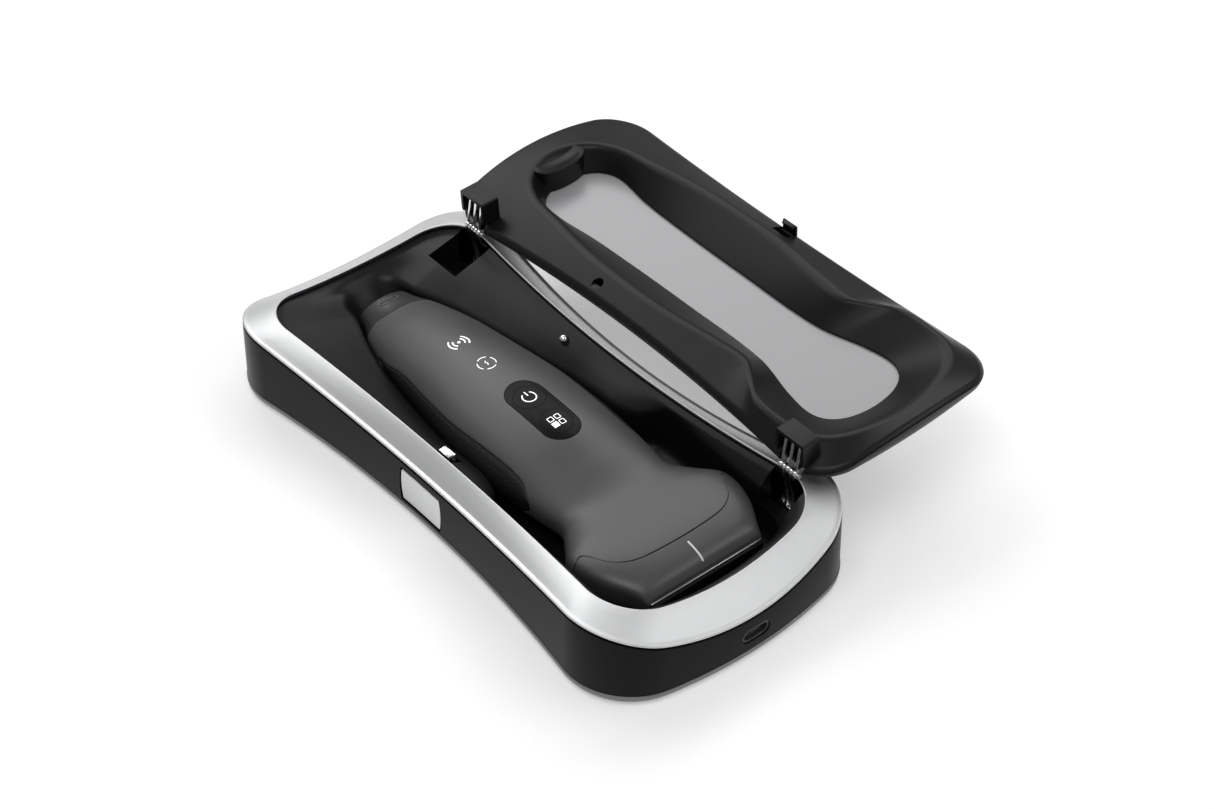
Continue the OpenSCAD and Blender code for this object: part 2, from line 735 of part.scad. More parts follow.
// Half width of the lid's recess and of its window, as [share of half length, share of half head width]
lid_recess_shares = [[-1, 0.5], [-0.84, 0.56], [-0.75, 0.62], [-0.6, 0.68], [-0.46, 0.75], [-0.3, 0.795],
    [-0.1, 0.81], [0.1, 0.78], [0.3, 0.7], [0.44, 0.68], [0.52, 0.82], [0.6, 0.98], [0.7, 1.02], [1, 1.02]];
window_shares = [[-1, 0.52], [-0.75, 0.54], [-0.55, 0.45], [-0.3, 0.42], [0, 0.41], [0.4, 0.42], [0.6, 0.56],
    [0.75, 0.64], [1, 0.64]];
liner_drop_shares = [[-1, 1.02], [-0.8, 0.99], [-0.5, 0.99], [0, 0.99], [0.4, 1], [0.7, 1.02], [1, 1.06]];
// Widths of the lid's domed edge and of its steeper part, and heights in it as shares of the whole
dome_width = 6.4;
dome_turn = 2.24;
dome_low = 0.4;
dome_mid = 0.7;
dome_high = 0.8;
lid_room = 3;
lid_recess_tail = probe_tail - lid_room;
lid_recess_head = probe_nose + lid_room;
window_tail_in = 2;
window_head_in = 7;
window_tail = probe_tail + window_tail_in;
window_head = probe_nose - window_head_in;

function half_w(k, x) = head_width / 2 * curve(k, x / recess_half);
function lid_ring(k, x0, x1, d, n) = [for (i = [0:n - 1])
    let (a = 360 * i / n, u = cos(a), x = (x0 + x1) / 2 + (x1 - x0 - 2 * d) / 2 * u)
    [x, sign(sin(a)) * (half_w(k, x) - d) * sqrt(max(0, 1 - pow(abs(u), lid_end_power)))]];
function drop_ring(r, dz) = [for (p = r) [p.x, p.y, lip_low * curve(liner_drop_shares, p.x / recess_half) + dz]];

module lid_shell() {
    n = tray_points;
    rim = plan_ring(lid_plan, n);
    out1 = plan_ring(inset(lid_plan, lid_wall / 4), n);
    out2 = plan_ring(inset(lid_plan, dome_turn), n);
    out3 = plan_ring(inset(lid_plan, dome_width), n);
    foot = plan_ring(inset(lid_plan, lid_wall), n);
    in1 = plan_ring(inset(lid_plan, lid_wall + lid_wall / 4), n);
    in2 = plan_ring(inset(lid_plan, lid_wall + dome_turn), n);
    in3 = plan_ring(inset(lid_plan, lid_wall + dome_width), n);
    hole = lid_ring(window_shares, window_tail, window_head, -window_seat - fit_gap, n);
    color("#1d1d1f") opened() difference() {
        band([
            lip_ring(rim, 0), dome_ring(out1, dome_low, 0), dome_ring(out2, dome_high, 0), crown_ring(out3, 0),
            crown_ring(hole, 0), crown_ring(hole, -lid_wall), crown_ring(in3, -lid_wall),
            dome_ring(in2, dome_mid, -lid_wall / 2), dome_ring(in1, dome_low, -lid_wall / 4),
            lip_ring(foot, 0)]);
        both_x(hinge_x) box(-notch_half, notch_half, notch_in, case_waist, lip_low, lid_crown + over);
    }
}

module lid_liner() {
    n = tray_points;
    gap = lid_wall + fit_gap;
    lip = plan_ring(lid_plan, n);
    turn = plan_ring(inset(lid_plan, liner_lip), n);
    edge = lid_ring(lid_recess_shares, lid_recess_tail, lid_recess_head, 0, n);
    wall_in = lid_ring(lid_recess_shares, lid_recess_tail, lid_recess_head, -liner_wall, n);
    seat = lid_ring(window_shares, window_tail, window_head, window_seat, n);
    seat_out = lid_ring(window_shares, window_tail, window_head, -window_seat, n);
    face = drop_ring(edge, 0);
    turned = lip_ring(turn, -liner_lip);
    color("#242426") opened() difference() {
        union() {
            band([lip_ring(lip, -fit_gap), lip_ring(plan_ring(inset(lid_plan, liner_wall), n), -fit_gap),
                lip_ring(plan_ring(inset(lid_plan, 2 * liner_wall), n), -2 * fit_gap),
                drop_ring(wall_in, liner_wall),
                flat_ring(seat_out, window_z - liner_wall), flat_ring(seat_out, window_z - fit_gap),
                flat_ring(seat, window_z - fit_gap), flat_ring(seat, window_z - liner_wall / 2),
                face, turned]);
            both_x(hinge_x) box(-housing_half, housing_half, housing_in, housing_out, housing_z, housing_top);
        }
        both_x(hinge_x) box(-notch_half, notch_half, housing_in + housing_wall, case_waist,
            housing_z + housing_wall, lid_crown);
        box(-arm_slot, arm_slot, -case_waist / 2, -lip_slot_in, housing_z, nose_high + latch_room);
        post(stud_x, stud_y, housing_z, lid_crown, stud_d + stud_room);
        lid_pad_form(fit_gap);
    }
}

module lid_window() {
    n = tray_points;
    edge = lid_ring(window_shares, window_tail, window_head, -window_seat, n);
    color([0.6, 0.6, 0.62, 0.6]) opened() skin([flat_ring(edge, window_z), crown_ring(edge, 0)], flat = false);
}

// Cradle over the tail of the probe, with a dished face
pad_back = 0.5;
pad_x = probe_tail - pad_back;
pad_length = 12;
pad_width = 20;
pad_low = 21.2;
pad_high = 29.9;
pad_dish = 18;
pad_deep = 2.6;

module lid_pad_form(grow) {
    translate([pad_x, 0, pad_low]) linear_extrude(pad_high - pad_low + grow)
        scale([(pad_length + 2 * grow) / (pad_width + 2 * grow), 1, 1]) circle(d = pad_width + 2 * grow);
}

module lid_pad() {
    color("#2c2c2e") opened() difference() {
        lid_pad_form(0);
        translate([pad_x, 0, pad_low + pad_deep - pad_dish]) sphere(r = pad_dish, $fn = 96);
    }
}

strike_wall = 0.7;
strike_hook = 0.9;

module lid_strike() {
    y0 = -lid_plan[2] + seat_gap;
    z0 = nose_low - strike_hook - seat_gap;
    color("silver") opened() {
        box(-arm_slot + fit_gap, arm_slot - fit_gap, y0, y0 + strike_wall, z0, nose_high + latch_room - fit_gap);
        box(-nose_half, nose_half, y0, -nose_out + strike_hook, z0, nose_low - seat_gap);
    }
}
lid_screw_out = 5;
lid_screw_x = probe_nose + lid_screw_out;
lid_screw_d = 3;

module lid_screws() {
    color("silver") opened() for (x = [-lid_screw_x, lid_screw_x])
        post(x, 0, window_z - 2 * liner_wall, window_z - liner_wall, lid_screw_d);
}
// Probe

// Half width, height of the back and depth of the front along the probe,
// as shares of the length from the tail, of the half head width, of the rise and of the drop
width_shares = [[0, 0.29], [0.006, 0.315], [0.033, 0.36], [0.07, 0.445], [0.102, 0.495], [0.15, 0.555],
    [0.195, 0.6], [0.264, 0.645], [0.347, 0.705], [0.42, 0.755], [0.5, 0.77], [0.56, 0.77], [0.64, 0.75],
    [0.7, 0.715], [0.75, 0.7], [0.79, 0.83], [0.835, 0.985], [0.88, 0.985], [0.93, 0.905], [0.98, 0.76],
    [1, 0.715]];
rise_shares = [[0, 0.34], [0.006, 0.38], [0.06, 0.48], [0.14, 0.7], [0.26, 0.92], [0.36, 1], [0.5, 1.02],
    [0.6, 0.94], [0.68, 0.73], [0.76, 0.53], [0.84, 0.57], [0.91, 0.58], [0.96, 0.5], [0.985, 0.38], [1, 0.16]];
drop_shares = [[0, 0.55], [0.02, 0.7], [0.1, 0.85], [0.25, 0.98], [0.5, 1], [0.75, 0.92], [0.9, 0.95],
    [1, 0.85]];
// Share of the half head width that the body's greatest width has, and the share that it ends at
belly_share = 0.77;
neck_share = 0.7;
// How peaked the back's cross section is along the probe: under 1 it is boxy
back_round_shares = [[0, 0.95], [0.3, 1.08], [0.6, 1.1], [0.7, 1.02], [0.78, 0.7], [0.86, 0.46], [1, 0.46]];
collar_length = 11.2;
head_length = 21;
ring_length = 1;
ring_deep = 0.9;
section_points = 12;
front_round = 0.68;
grip_deep = 1.1;
grip_edge_angle = 1.2;
grip_seat = 0.15;
// The grips' length along the probe and their upper and lower edges, as shares and degrees
grip_tail_share = 0.13;
grip_head_share = 0.665;
grip_up_shares = [[0, 4], [0.05, 10], [0.16, 21], [0.31, 22.5], [0.45, 24.5], [0.57, 27.3], [0.68, 29.8],
    [0.8, 31.2], [0.88, 30.5], [0.94, 26], [1, 6]];
grip_down_shares = [[0, 2], [0.1, 24], [0.4, 38], [0.8, 34], [0.95, 16], [1, 2]];

function probe_w(s) = head_width / 2 * curve(width_shares, s) * swell(s);
// Factor that brings the body to its greatest width without a change at the tail or the neck
function swell(s) = 1 + (belly_width / (head_width * belly_share) - 1) * sin(180 * min(1, s / neck_share));
function probe_up(s) = probe_rise * curve(rise_shares, s);
function probe_down(s) = probe_drop * curve(drop_shares, s);
function signed_pow(v, p) = sign(v) * pow(abs(v), p);
// A point of the probe's skin at share s and angle a, drawn in by d
function probe_point(s, a, d) =
    let (w = probe_w(s) - d, e = a > 180 || a < 0 ? front_round : curve(back_round_shares, s))
    let (h = (a > 180 || a < 0 ? probe_down(s) : probe_up(s)) - d)
    [probe_tail + probe_length * s, w * signed_pow(cos(a), e), probe_mid + h * signed_pow(sin(a), e)];
// Whole sections, and half sections closed along the parting plane
function section(s, d) = [for (i = [0:2 * section_points - 1]) probe_point(s, 180 * i / section_points, d)];
function grip_place(s) = (s - grip_tail_share) / (grip_head_share - grip_tail_share);
function grip_in(s) = grip_place(s) > 0 && grip_place(s) < 1;
function grip_up(s) = grip_in(s) ? curve(grip_up_shares, grip_place(s)) : 2;
function grip_down(s) = grip_in(s) ? curve(grip_down_shares, grip_place(s)) : 2;
function grip_cut(s) = grip_in(s) ? grip_deep + grip_seat : 0;
function back_section(s) =
    let (g = grip_up(s), d = grip_cut(s), m = section_points)
    concat([probe_point(s, 0, d), probe_point(s, g, d)],
        [for (i = [0:m]) probe_point(s, g + (180 - 2 * g) * i / m, 0)],
        [probe_point(s, 180 - g, d), probe_point(s, 180, d)]);
function front_section(s) =
    let (g = grip_down(s), d = grip_cut(s), m = section_points)
    concat([probe_point(s, 180, d), probe_point(s, 180 + g, d)],
        [for (i = [0:m]) probe_point(s, 180 + g + (180 - 2 * g) * i / m, 0)],
        [probe_point(s, 360 - g, d), probe_point(s, 360, d)]);
function stations(s0, s1, n) = [for (i = [0:n]) s0 + (s1 - s0) * i / n];

shell_tail_share = collar_length / probe_length;
shell_head_share = 1 - head_length / probe_length;
shell_stations = 30;
head_stations = 8;
collar_stations = 6;
// The bay for the board and the battery, its ends as shares of the probe's length
bay_tail_share = 0.216;
bay_head_share = 0.611;
bay_x0 = probe_tail + bay_tail_share * probe_length;
bay_x1 = probe_tail + bay_head_share * probe_length;
bay_half = 10;
bay_back = 22.5;
bay_front = 8.4;

module probe_bay() {
    box(bay_x0, bay_x1, -bay_half, bay_half, bay_front, bay_back);
}

module probe_back() {
    color("#47474a") difference() {
        skin([for (s = stations(shell_tail_share, shell_head_share, shell_stations)) back_section(s)]);
        probe_bay();
        panel_cut();
        light_cuts();
    }
}

module probe_front() {
    color("#3f3f42") difference() {
        skin([for (s = stations(shell_tail_share, shell_head_share, shell_stations)) front_section(s)]);
        probe_bay();
    }
}

vent_in = 4.7;
vent_x = probe_tail + vent_in;
vent_width = 2;
vent_length = 7;
vent_round = 0.95;
vent_z = 19.9;

module tail_collar() {
    s0 = ring_length / probe_length;
    color("#2b2b2d") difference() {
        skin([for (s = stations(s0, shell_tail_share - run_gap / probe_length, collar_stations)) section(s, 0)]);
        slab(vent_x - vent_width / 2, vent_x + vent_width / 2, -vent_length / 2, vent_length / 2, vent_z,
            probe_mid + probe_rise, vent_round);
    }
}
module tail_ring() {
    s1 = (ring_length - run_gap) / probe_length;
    color("#1a1a1b") skin([for (s = [0, s1]) section(s, ring_deep)]);
}

// A grip on one side, between its upper and lower edges
module grip(side) {
    n = 16;
    m = 8;
    gap = run_gap;
    s0 = grip_tail_share;
    s1 = grip_head_share;
    skin([for (j = [0:n])
        let (s = s0 + (s1 - s0) * (j + 0.75) / (n + 1.5))
        let (up = grip_up(s) - grip_edge_angle, down = grip_edge_angle - grip_down(s))
        concat(
            [for (i = [0:m]) grip_point(s, down + (up - down) * i / m, 0, side)],
            [for (i = [m:-1:0]) grip_point(s, down + (up - down) * i / m, grip_deep, side)])]);
}
function grip_point(s, a, d, side) =
    let (p = probe_point(s, a, d))
    side > 0 ? p : [p.x, -p.y, p.z];

module grip_left() {
    color("#18181a") mirror([0, 1, 0]) grip(1);
}

module grip_right() {
    color("#18181a") grip(1);
}

module head_shell() {
    color("#434346") difference() {
        skin([for (s = stations(shell_head_share + run_gap / probe_length, 1, head_stations)) section(s, 0)]);
        box(probe_nose - array_depth - run_gap, probe_nose + over, -array_half - run_gap, array_half + run_gap,
            array_low - run_gap, array_high + run_gap);
    }
}

array_depth = 14;
array_half = 19;
array_low = 9.6;
array_high = 15.4;
lens_depth = 1.6;
lens_lap = 2.4;

module lens() {
    color("#0f0f10") translate([probe_nose + run_gap, 0, 0]) rotate([90, 0, 90]) linear_extrude(lens_depth)
        rounded(-array_half - lens_lap, array_half + lens_lap, array_low - lens_lap / 2,
            array_high + lens_lap / 2, lens_lap / 2);
}

bead = 0.5;

module lens_bead() {
    color("silver") box(probe_nose + run_gap, probe_nose + bead, -array_half - lens_lap, array_half + lens_lap,
        array_high + lens_lap / 2 + run_gap, array_high + lens_lap / 2 + bead);
}
module array_stack() {
    color("#8a7350") box(probe_nose - array_depth, probe_nose, -array_half, array_half, array_low, array_high);
}

mark_in = 5;
mark_x = probe_nose - mark_in;
mark_length = 7;
mark_width = 0.6;
mark_steps = 6;
mark_rise = 0.02;
mark_height = 0.05;

module centre_mark() {
    color("white") skin([for (i = [0:mark_steps])
        let (x = mark_x - mark_length / 2 + mark_length * i / mark_steps, z = top_z(x) + mark_rise)
        [[x, mark_width / 2, z], [x, mark_width / 2, z + mark_height], [x, -mark_width / 2, z + mark_height],
            [x, -mark_width / 2, z]]]);
}
// Height of the probe's back on its middle line
function top_z(x) = probe_mid + probe_up((x - probe_tail) / probe_length);

// Keys

panel_place = 0.528;
panel_x = probe_tail + panel_place * probe_length;
panel_top = 29.1;
panel_deep = 2.6;
panel_stations = 10;
key_d = 10.4;
key_gap = 0.25;
key_before = 6.5;
key_after = 6.9;
power_x = panel_x - key_before;
mode_x = panel_x + key_after;
key_deep = 2;
switch_size = 4;

module panel_plan(grow) {
    rounded(panel_x - panel_length / 2 - grow, panel_x + panel_length / 2 + grow, -panel_width / 2 - grow,
        panel_width / 2 + grow, panel_width / 2 - run_gap);
}

module panel_cut() {
    translate([0, 0, panel_top - panel_deep - fit_gap]) linear_extrude(panel_deep + over) panel_plan(run_gap);
    for (x = [power_x, mode_x]) post(x, 0, probe_mid, panel_top, switch_size + 2);
}

// The back's own skin over the key panel, which keeps the panel and the keys flush with it
module back_skin() {
    s0 = panel_place - panel_length / 2 / probe_length;
    s1 = panel_place + panel_length / 2 / probe_length;
    skin([for (s = stations(s0, s1, panel_stations)) section(s, 0)]);
}

module key_panel() {
    color("#0c0c0d") difference() {
        intersection() {
            translate([0, 0, panel_top - panel_deep]) linear_extrude(panel_deep) panel_plan(0);
            back_skin();
        }
        for (x = [power_x, mode_x])
            post(x, 0, panel_top - panel_deep - over, panel_top + over, key_d + 2 * key_gap);
    }
}

module key(x) {
    intersection() {
        post(x, 0, panel_top - key_deep, panel_top, key_d);
        back_skin();
    }
}

module power_key() {
    color("#0c0c0d") key(power_x);
}

module mode_key() {
    color("#0c0c0d") key(mode_x);
}

light_d = 3;
light_sink = 0.05;
signal_place = 0.265;
charge_place = 0.355;
signal_x = probe_tail + signal_place * probe_length;
charge_x = probe_tail + charge_place * probe_length;

module light_cuts() {
    for (x = [signal_x, charge_x]) post(x, 0, bay_back - over, lid_crown, light_d + 2 * run_gap);
}

module signal_lights() {
    color("white") for (x = [signal_x, charge_x]) post(x, 0, bay_back, top_z(x) - light_sink, light_d);
}

board_z = 17;
probe_board_margin = 1;

module key_switches() {
    top = panel_top - key_deep - key_travel - run_gap;
    color("#c8c8c0") for (x = [power_x, mode_x]) post(x, 0, board_z + board_thickness, top, switch_size);
}

module probe_board() {
    color("#1f5a3a") box(bay_x0 + probe_board_margin, bay_x1 - probe_board_margin, -bay_half + fit_gap,
        bay_half - fit_gap, board_z, board_z + board_thickness);
}

module probe_battery() {
    color("#7d8aa0") box(bay_x0 + probe_board_margin, bay_x1 - probe_board_margin, -bay_half + fit_gap,
        bay_half - fit_gap, bay_front + coil_height + fit_gap, board_z - fit_gap);
}

probe_coil_in = 1;
probe_coil_bore = 9;

module probe_coil() {
    color("#b87333") difference() {
        post(coil_x, 0, bay_front, bay_front + coil_height, 2 * (bay_half - probe_coil_in));
        post(coil_x, 0, bay_front - over, bay_front + coil_height + over, probe_coil_bore);
    }
}

base_pad();
bottom_plate();
bottom_screws();
bottom_trim();
side_wall();
bezel();
tray();
latch_button();
latch_arm();
latch_spring();
latch_guide();
port_socket();
port_frame();
charger_board();
charge_coil();
coil_ferrite();
case_batteries();
sensor_stud();
hinge_arms();
hinge_pins();
hinge_screws();
lid_leaves();
lid_shell();
lid_liner();
lid_window();
lid_pad();
lid_strike();
lid_screws();
probe_back();
probe_front();
tail_collar();
tail_ring();
grip_left();
grip_right();
head_shell();
lens();
lens_bead();
centre_mark();
key_panel();
power_key();
mode_key();
signal_lights();
key_switches();
probe_board();
probe_battery();
probe_coil();
array_stack();
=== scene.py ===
import math

import bpy
import numpy as np
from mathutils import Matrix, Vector


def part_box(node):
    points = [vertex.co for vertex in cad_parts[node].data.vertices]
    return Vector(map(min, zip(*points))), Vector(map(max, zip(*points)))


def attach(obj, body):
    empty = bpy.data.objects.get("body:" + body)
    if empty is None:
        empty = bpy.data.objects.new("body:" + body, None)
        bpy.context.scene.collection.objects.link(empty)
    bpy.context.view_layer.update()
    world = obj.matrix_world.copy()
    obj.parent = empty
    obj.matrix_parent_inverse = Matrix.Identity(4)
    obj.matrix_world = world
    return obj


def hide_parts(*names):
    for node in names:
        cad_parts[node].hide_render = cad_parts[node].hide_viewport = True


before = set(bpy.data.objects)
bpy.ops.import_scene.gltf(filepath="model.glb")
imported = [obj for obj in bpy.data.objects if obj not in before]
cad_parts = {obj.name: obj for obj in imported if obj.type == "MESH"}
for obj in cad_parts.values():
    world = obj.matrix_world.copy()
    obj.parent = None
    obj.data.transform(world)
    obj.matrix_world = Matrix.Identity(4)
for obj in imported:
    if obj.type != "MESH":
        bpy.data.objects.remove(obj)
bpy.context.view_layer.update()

bl_info = {
    "name": "Docked Probe and Charging Case",
    "version": (1, 0, 0),
    "blender": (4, 5, 0),
    "location": "View3D > Sidebar > Probe Case",
    "description": "Dresses a pocket ultrasound probe, its charging case and its hinged lid",
    "category": "Object",
}

# Everything is in metres, in the frame of the case: +X is the charging port, -Y the latch, +Z up
MM = 0.001


def node_low(node):
    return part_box(node)[0]


def node_high(node):
    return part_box(node)[1]


# Shares along the case, the lid and the probe, as [place, value]
RECESS_SHARES = [[-1.02, 0.4], [-0.944, 0.375], [-0.888, 0.365], [-0.863, 0.37], [-0.76, 0.47],
                 [-0.7, 0.525], [-0.61, 0.585], [-0.53, 0.63], [-0.407, 0.685], [-0.256, 0.745],
                 [-0.12, 0.79], [-0.03, 0.795], [0.04, 0.8], [0.1, 0.805], [0.163, 0.845], [0.217, 0.925],
                 [0.25, 1.01], [0.3, 1.075], [0.5, 1.07], [0.7, 1.06], [1, 1.06]]
BRIM_SHARES = [[-1.02, 0.88], [-0.87, 0.87], [-0.7, 0.83], [-0.53, 0.785], [-0.41, 0.765], [-0.256, 0.765],
               [-0.12, 0.785], [-0.04, 0.82], [0.04, 0.845], [0.163, 0.86], [0.217, 0.89], [0.25, 0.95],
               [0.3, 1], [0.5, 1], [0.7, 0.98], [1, 0.92]]
LID_RECESS_SHARES = [[-1, 0.5], [-0.84, 0.56], [-0.75, 0.62], [-0.6, 0.68], [-0.46, 0.75], [-0.3, 0.795],
                     [-0.1, 0.81], [0.1, 0.78], [0.3, 0.7], [0.44, 0.68], [0.52, 0.82], [0.6, 0.98],
                     [0.7, 1.02], [1, 1.02]]
WINDOW_SHARES = [[-1, 0.52], [-0.75, 0.54], [-0.55, 0.45], [-0.3, 0.42], [0, 0.41], [0.4, 0.42], [0.6, 0.56],
                 [0.75, 0.64], [1, 0.64]]
LINER_DROP_SHARES = [[-1, 1.02], [-0.8, 0.99], [-0.5, 0.99], [0, 0.99], [0.4, 1], [0.7, 1.02], [1, 1.06]]
WIDTH_SHARES = [[0, 0.29], [0.006, 0.315], [0.033, 0.36], [0.07, 0.445], [0.102, 0.495], [0.15, 0.555],
                [0.195, 0.6], [0.264, 0.645], [0.347, 0.705], [0.42, 0.755], [0.5, 0.77], [0.56, 0.77],
                [0.64, 0.75], [0.7, 0.715], [0.75, 0.7], [0.79, 0.83], [0.835, 0.985], [0.88, 0.985],
                [0.93, 0.905], [0.98, 0.76], [1, 0.715]]
RISE_SHARES = [[0, 0.34], [0.006, 0.38], [0.06, 0.48], [0.14, 0.7], [0.26, 0.92], [0.36, 1], [0.5, 1.02],
               [0.6, 0.94], [0.68, 0.73], [0.76, 0.53], [0.84, 0.57], [0.91, 0.58], [0.96, 0.5], [0.985, 0.38],
               [1, 0.16]]
DROP_SHARES = [[0, 0.55], [0.02, 0.7], [0.1, 0.85], [0.25, 0.98], [0.5, 1], [0.75, 0.92], [0.9, 0.95],
               [1, 0.85]]
# The head cover's seam, as [share of a quarter turn from the middle, share of the probe's length]
SEAM_SHARES = [[0, 0.9325], [0.2, 0.924], [0.34, 0.906], [0.41, 0.887], [0.48, 0.862], [0.58, 0.848],
               [0.78, 0.852], [1, 0.853]]
# How peaked the probe's back is along it: under 1 it is boxy
BACK_ROUND_SHARES = [[0, 0.95], [0.3, 1.08], [0.6, 1.1], [0.7, 1.02], [0.78, 0.7], [0.86, 0.46], [1, 0.46]]
# The grips' upper and lower edges along them, as [share of their length, share of a quarter turn]
GRIP_UP_SHARES = [[0, 0.044], [0.05, 0.11], [0.16, 0.233], [0.31, 0.25], [0.45, 0.272], [0.57, 0.303],
                  [0.68, 0.331], [0.8, 0.347], [0.88, 0.339], [0.94, 0.289], [1, 0.067]]
GRIP_DOWN_SHARES = [[0, 0.02], [0.1, 0.27], [0.4, 0.42], [0.8, 0.38], [0.95, 0.18], [1, 0.02]]

# Points round a plan outline and round the probe, and the angle in degrees over which an edge stays sharp
FINE, AROUND = 720, 192
SHARP_ANGLE, SOFT_SHARP_ANGLE, WALL_SHARP_ANGLE = 38, 40, 32
QUARTER = math.pi / 2

# Filled by mix_materials
MATERIALS = {}


def length(name, text, default):
    """A property for a size in metres."""
    return bpy.props.FloatProperty(name=name, description=text, default=default, unit="LENGTH", precision=5)


def angle(name, text, degrees):
    """A property for an angle."""
    return bpy.props.FloatProperty(name=name, description=text, default=math.radians(degrees), subtype="ANGLE")


def tint(name, text, default):
    """A property for a colour."""
    return bpy.props.FloatVectorProperty(
        name=name, description=text, default=default, size=3, subtype="COLOR", min=0, max=1)


class CaseSizes(bpy.types.PropertyGroup):
    half_length: length("Half length", "Half the case's length", node_high("side_wall").x - 0.5 * MM)
    half_waist: length("Half waist", "Half the case's width at its waist", 42.5 * MM)
    end_radius: length("End radius", "Radius of the rounded ends", 151 * MM)
    side_radius: length("Side radius", "Radius of the hollow long sides", 495 * MM)
    corner_radius: length("Corner radius", "Radius of the corners", 22.3 * MM)
    bezel_end: length("Bezel at the ends", "Width of the bezel at the ends", 11.2 * MM)
    bezel_side: length("Bezel at the waist", "Width of the bezel at the waist", 7.6 * MM)
    lip_end_radius: length("Lip end radius", "Radius of the inner lip at the ends", 198 * MM)
    lip_side_radius: length("Lip side radius", "Radius of the inner lip along the sides", 733 * MM)
    lip_corner_radius: length("Lip corner radius", "Radius of the inner lip's corners", 16 * MM)
    rim_low: length("Rim height", "Height of the wall's dished edge in the middle", 10.8 * MM)
    lip_low: length("Lip height", "Height of the bezel's inner lip in the middle", 21.3 * MM)
    lid_crown: length("Lid crown", "Height of the closed lid's crown", 33.2 * MM)
    lid_wall: length("Lid wall", "Thickness of the lid's outer shell", 1.6 * MM)
    wall: length("Wall", "Thickness of the side wall", 2.2 * MM)


class ProbeSizes(bpy.types.PropertyGroup):
    tail: length("Tail", "Place of the probe's tail along the case", node_low("tail_ring").x)
    nose: length("Nose", "Place of the probe's nose along the case", node_high("head_shell").x)
    head_width: length("Head width", "Width of the head", 62 * MM)
    belly_width: length("Belly width", "Greatest width of the hand-held body", 48 * MM)
    rise: length("Rise", "Height of the back over the parting plane", 12.8 * MM)
    drop: length("Drop", "Depth of the front under the parting plane", 9.2 * MM)
    mid: length("Parting plane", "Height of the parting plane", 15.9 * MM)


class Finishes(bpy.types.PropertyGroup):
    silver: tint("Silver", "Satin anodised bezel, trim and button", (0.7, 0.705, 0.71))
    steel: tint("Steel", "Polished hinge leaves and pins", (0.8, 0.8, 0.8))
    shell: tint("Black shell", "Moulded black wall, tray and lid", (0.009, 0.009, 0.0093))
    probe: tint("Charcoal", "Soft painted housing of the probe", (0.078, 0.078, 0.08))
    rubber: tint("Rubber", "Stippled grips", (0.008, 0.008, 0.008))
    gloss: tint("Gloss black", "Key panel and lens", (0.003, 0.003, 0.0032))
    smoke: tint("Smoke", "Tinted window in the lid", (0.33, 0.33, 0.34))
    # The centre mark's share of this glow is painted light; the signs are lit.
    glow: tint("Glow", "Lit signs and the centre mark", (0.93, 0.94, 0.95))


class StageSettings(bpy.types.PropertyGroup):
    azimuth: angle("Azimuth", "Camera's turn round the case", 50.232)
    elevation: angle("Elevation", "Camera's height angle", 41.193)
    distance: length("Distance", "Camera's distance from its target", 792.8 * MM)
    lens: bpy.props.FloatProperty(name="Lens", description="Focal length in millimetres", default=72.71)


# Outlines and smooth curves

def keyed(keys, place):
    """Value at a place on a smooth curve through keys, each a place and a value."""
    x, y = np.array(keys, float).T
    last = len(x) - 1
    steps = np.arange(last + 1)
    low, high = np.maximum(steps - 1, 0), np.minimum(steps + 1, last)
    slope = (y[high] - y[low]) / (x[high] - x[low])
    t = np.clip(np.asarray(place, float), x[0], x[-1])
    i = np.clip(np.searchsorted(x, t, side="right") - 1, 0, last - 1)
    h = x[i + 1] - x[i]
    u = (t - x[i]) / h
    rise = u * u * (3 - 2 * u)
    return (y[i] + rise * (y[i + 1] - y[i])
            + h * slope[i] * u * (1 - u) ** 2 - h * slope[i + 1] * u * u * (1 - u))


def signed_power(value, power):
    return np.sign(value) * np.abs(value) ** power


def smooth_step(value):
    t = np.clip(value, 0, 1)
    return t * t * (3 - 2 * t)


class Outline:
    """A plan outline of two round ends, two hollow sides and four round corners."""

    def __init__(self, half_length, end_radius, half_waist, side_radius, corner_radius):
        self.parts = (half_length, end_radius, half_waist, side_radius, corner_radius)

    def inset(self, d):
        half_length, end_radius, half_waist, side_radius, corner_radius = self.parts
        return Outline(half_length - d, end_radius - d, half_waist - d, side_radius + d, corner_radius - d)

    def half_width(self, x):
        half_length, end_radius, half_waist, side_radius, corner_radius = self.parts
        side = np.array([0, half_waist + side_radius])
        end = np.array([half_length - end_radius, 0])
        r1, r2, d = side_radius + corner_radius, end_radius - corner_radius, np.linalg.norm(end - side)
        a = (r1 * r1 - r2 * r2 + d * d) / (2 * d)
        u = (end - side) / d
        centre = side + a * u + math.sqrt(r1 * r1 - a * a) * np.array([-u[1], u[0]])
        t1 = side + (centre - side) * side_radius / r1
        t2 = end + (centre - end) * end_radius / r2
        on_side = side[1] - np.sqrt(side_radius ** 2 - x ** 2)
        on_corner = centre[1] + np.sqrt(np.maximum(0, corner_radius ** 2 - (x - centre[0]) ** 2))
        on_end = np.sqrt(np.maximum(0, end_radius ** 2 - (x - end[0]) ** 2))
        return np.where(x < t1[0], on_side, np.where(x < t2[0], on_corner, on_end))

    def ring(self, n=FINE):
        turn = np.arange(n) * 2 * math.pi / n
        x = self.parts[0] * np.cos(turn)
        y = np.where(np.abs(np.sin(turn)) < 1e-6, 0, np.sign(np.sin(turn)) * self.half_width(np.abs(x)))
        return np.stack([x, y], 1)


def case_outline():
    """The case in plan."""
    s = bpy.context.scene.case_sizes
    return Outline(s.half_length, s.end_radius, s.half_waist, s.side_radius, s.corner_radius)


def lip_outline():
    """The bezel's inner lip in plan, which the lid's edge follows."""
    s = bpy.context.scene.case_sizes
    return Outline(s.half_length - s.bezel_end, s.lip_end_radius, s.half_waist - s.bezel_side,
                   s.lip_side_radius, s.lip_corner_radius)


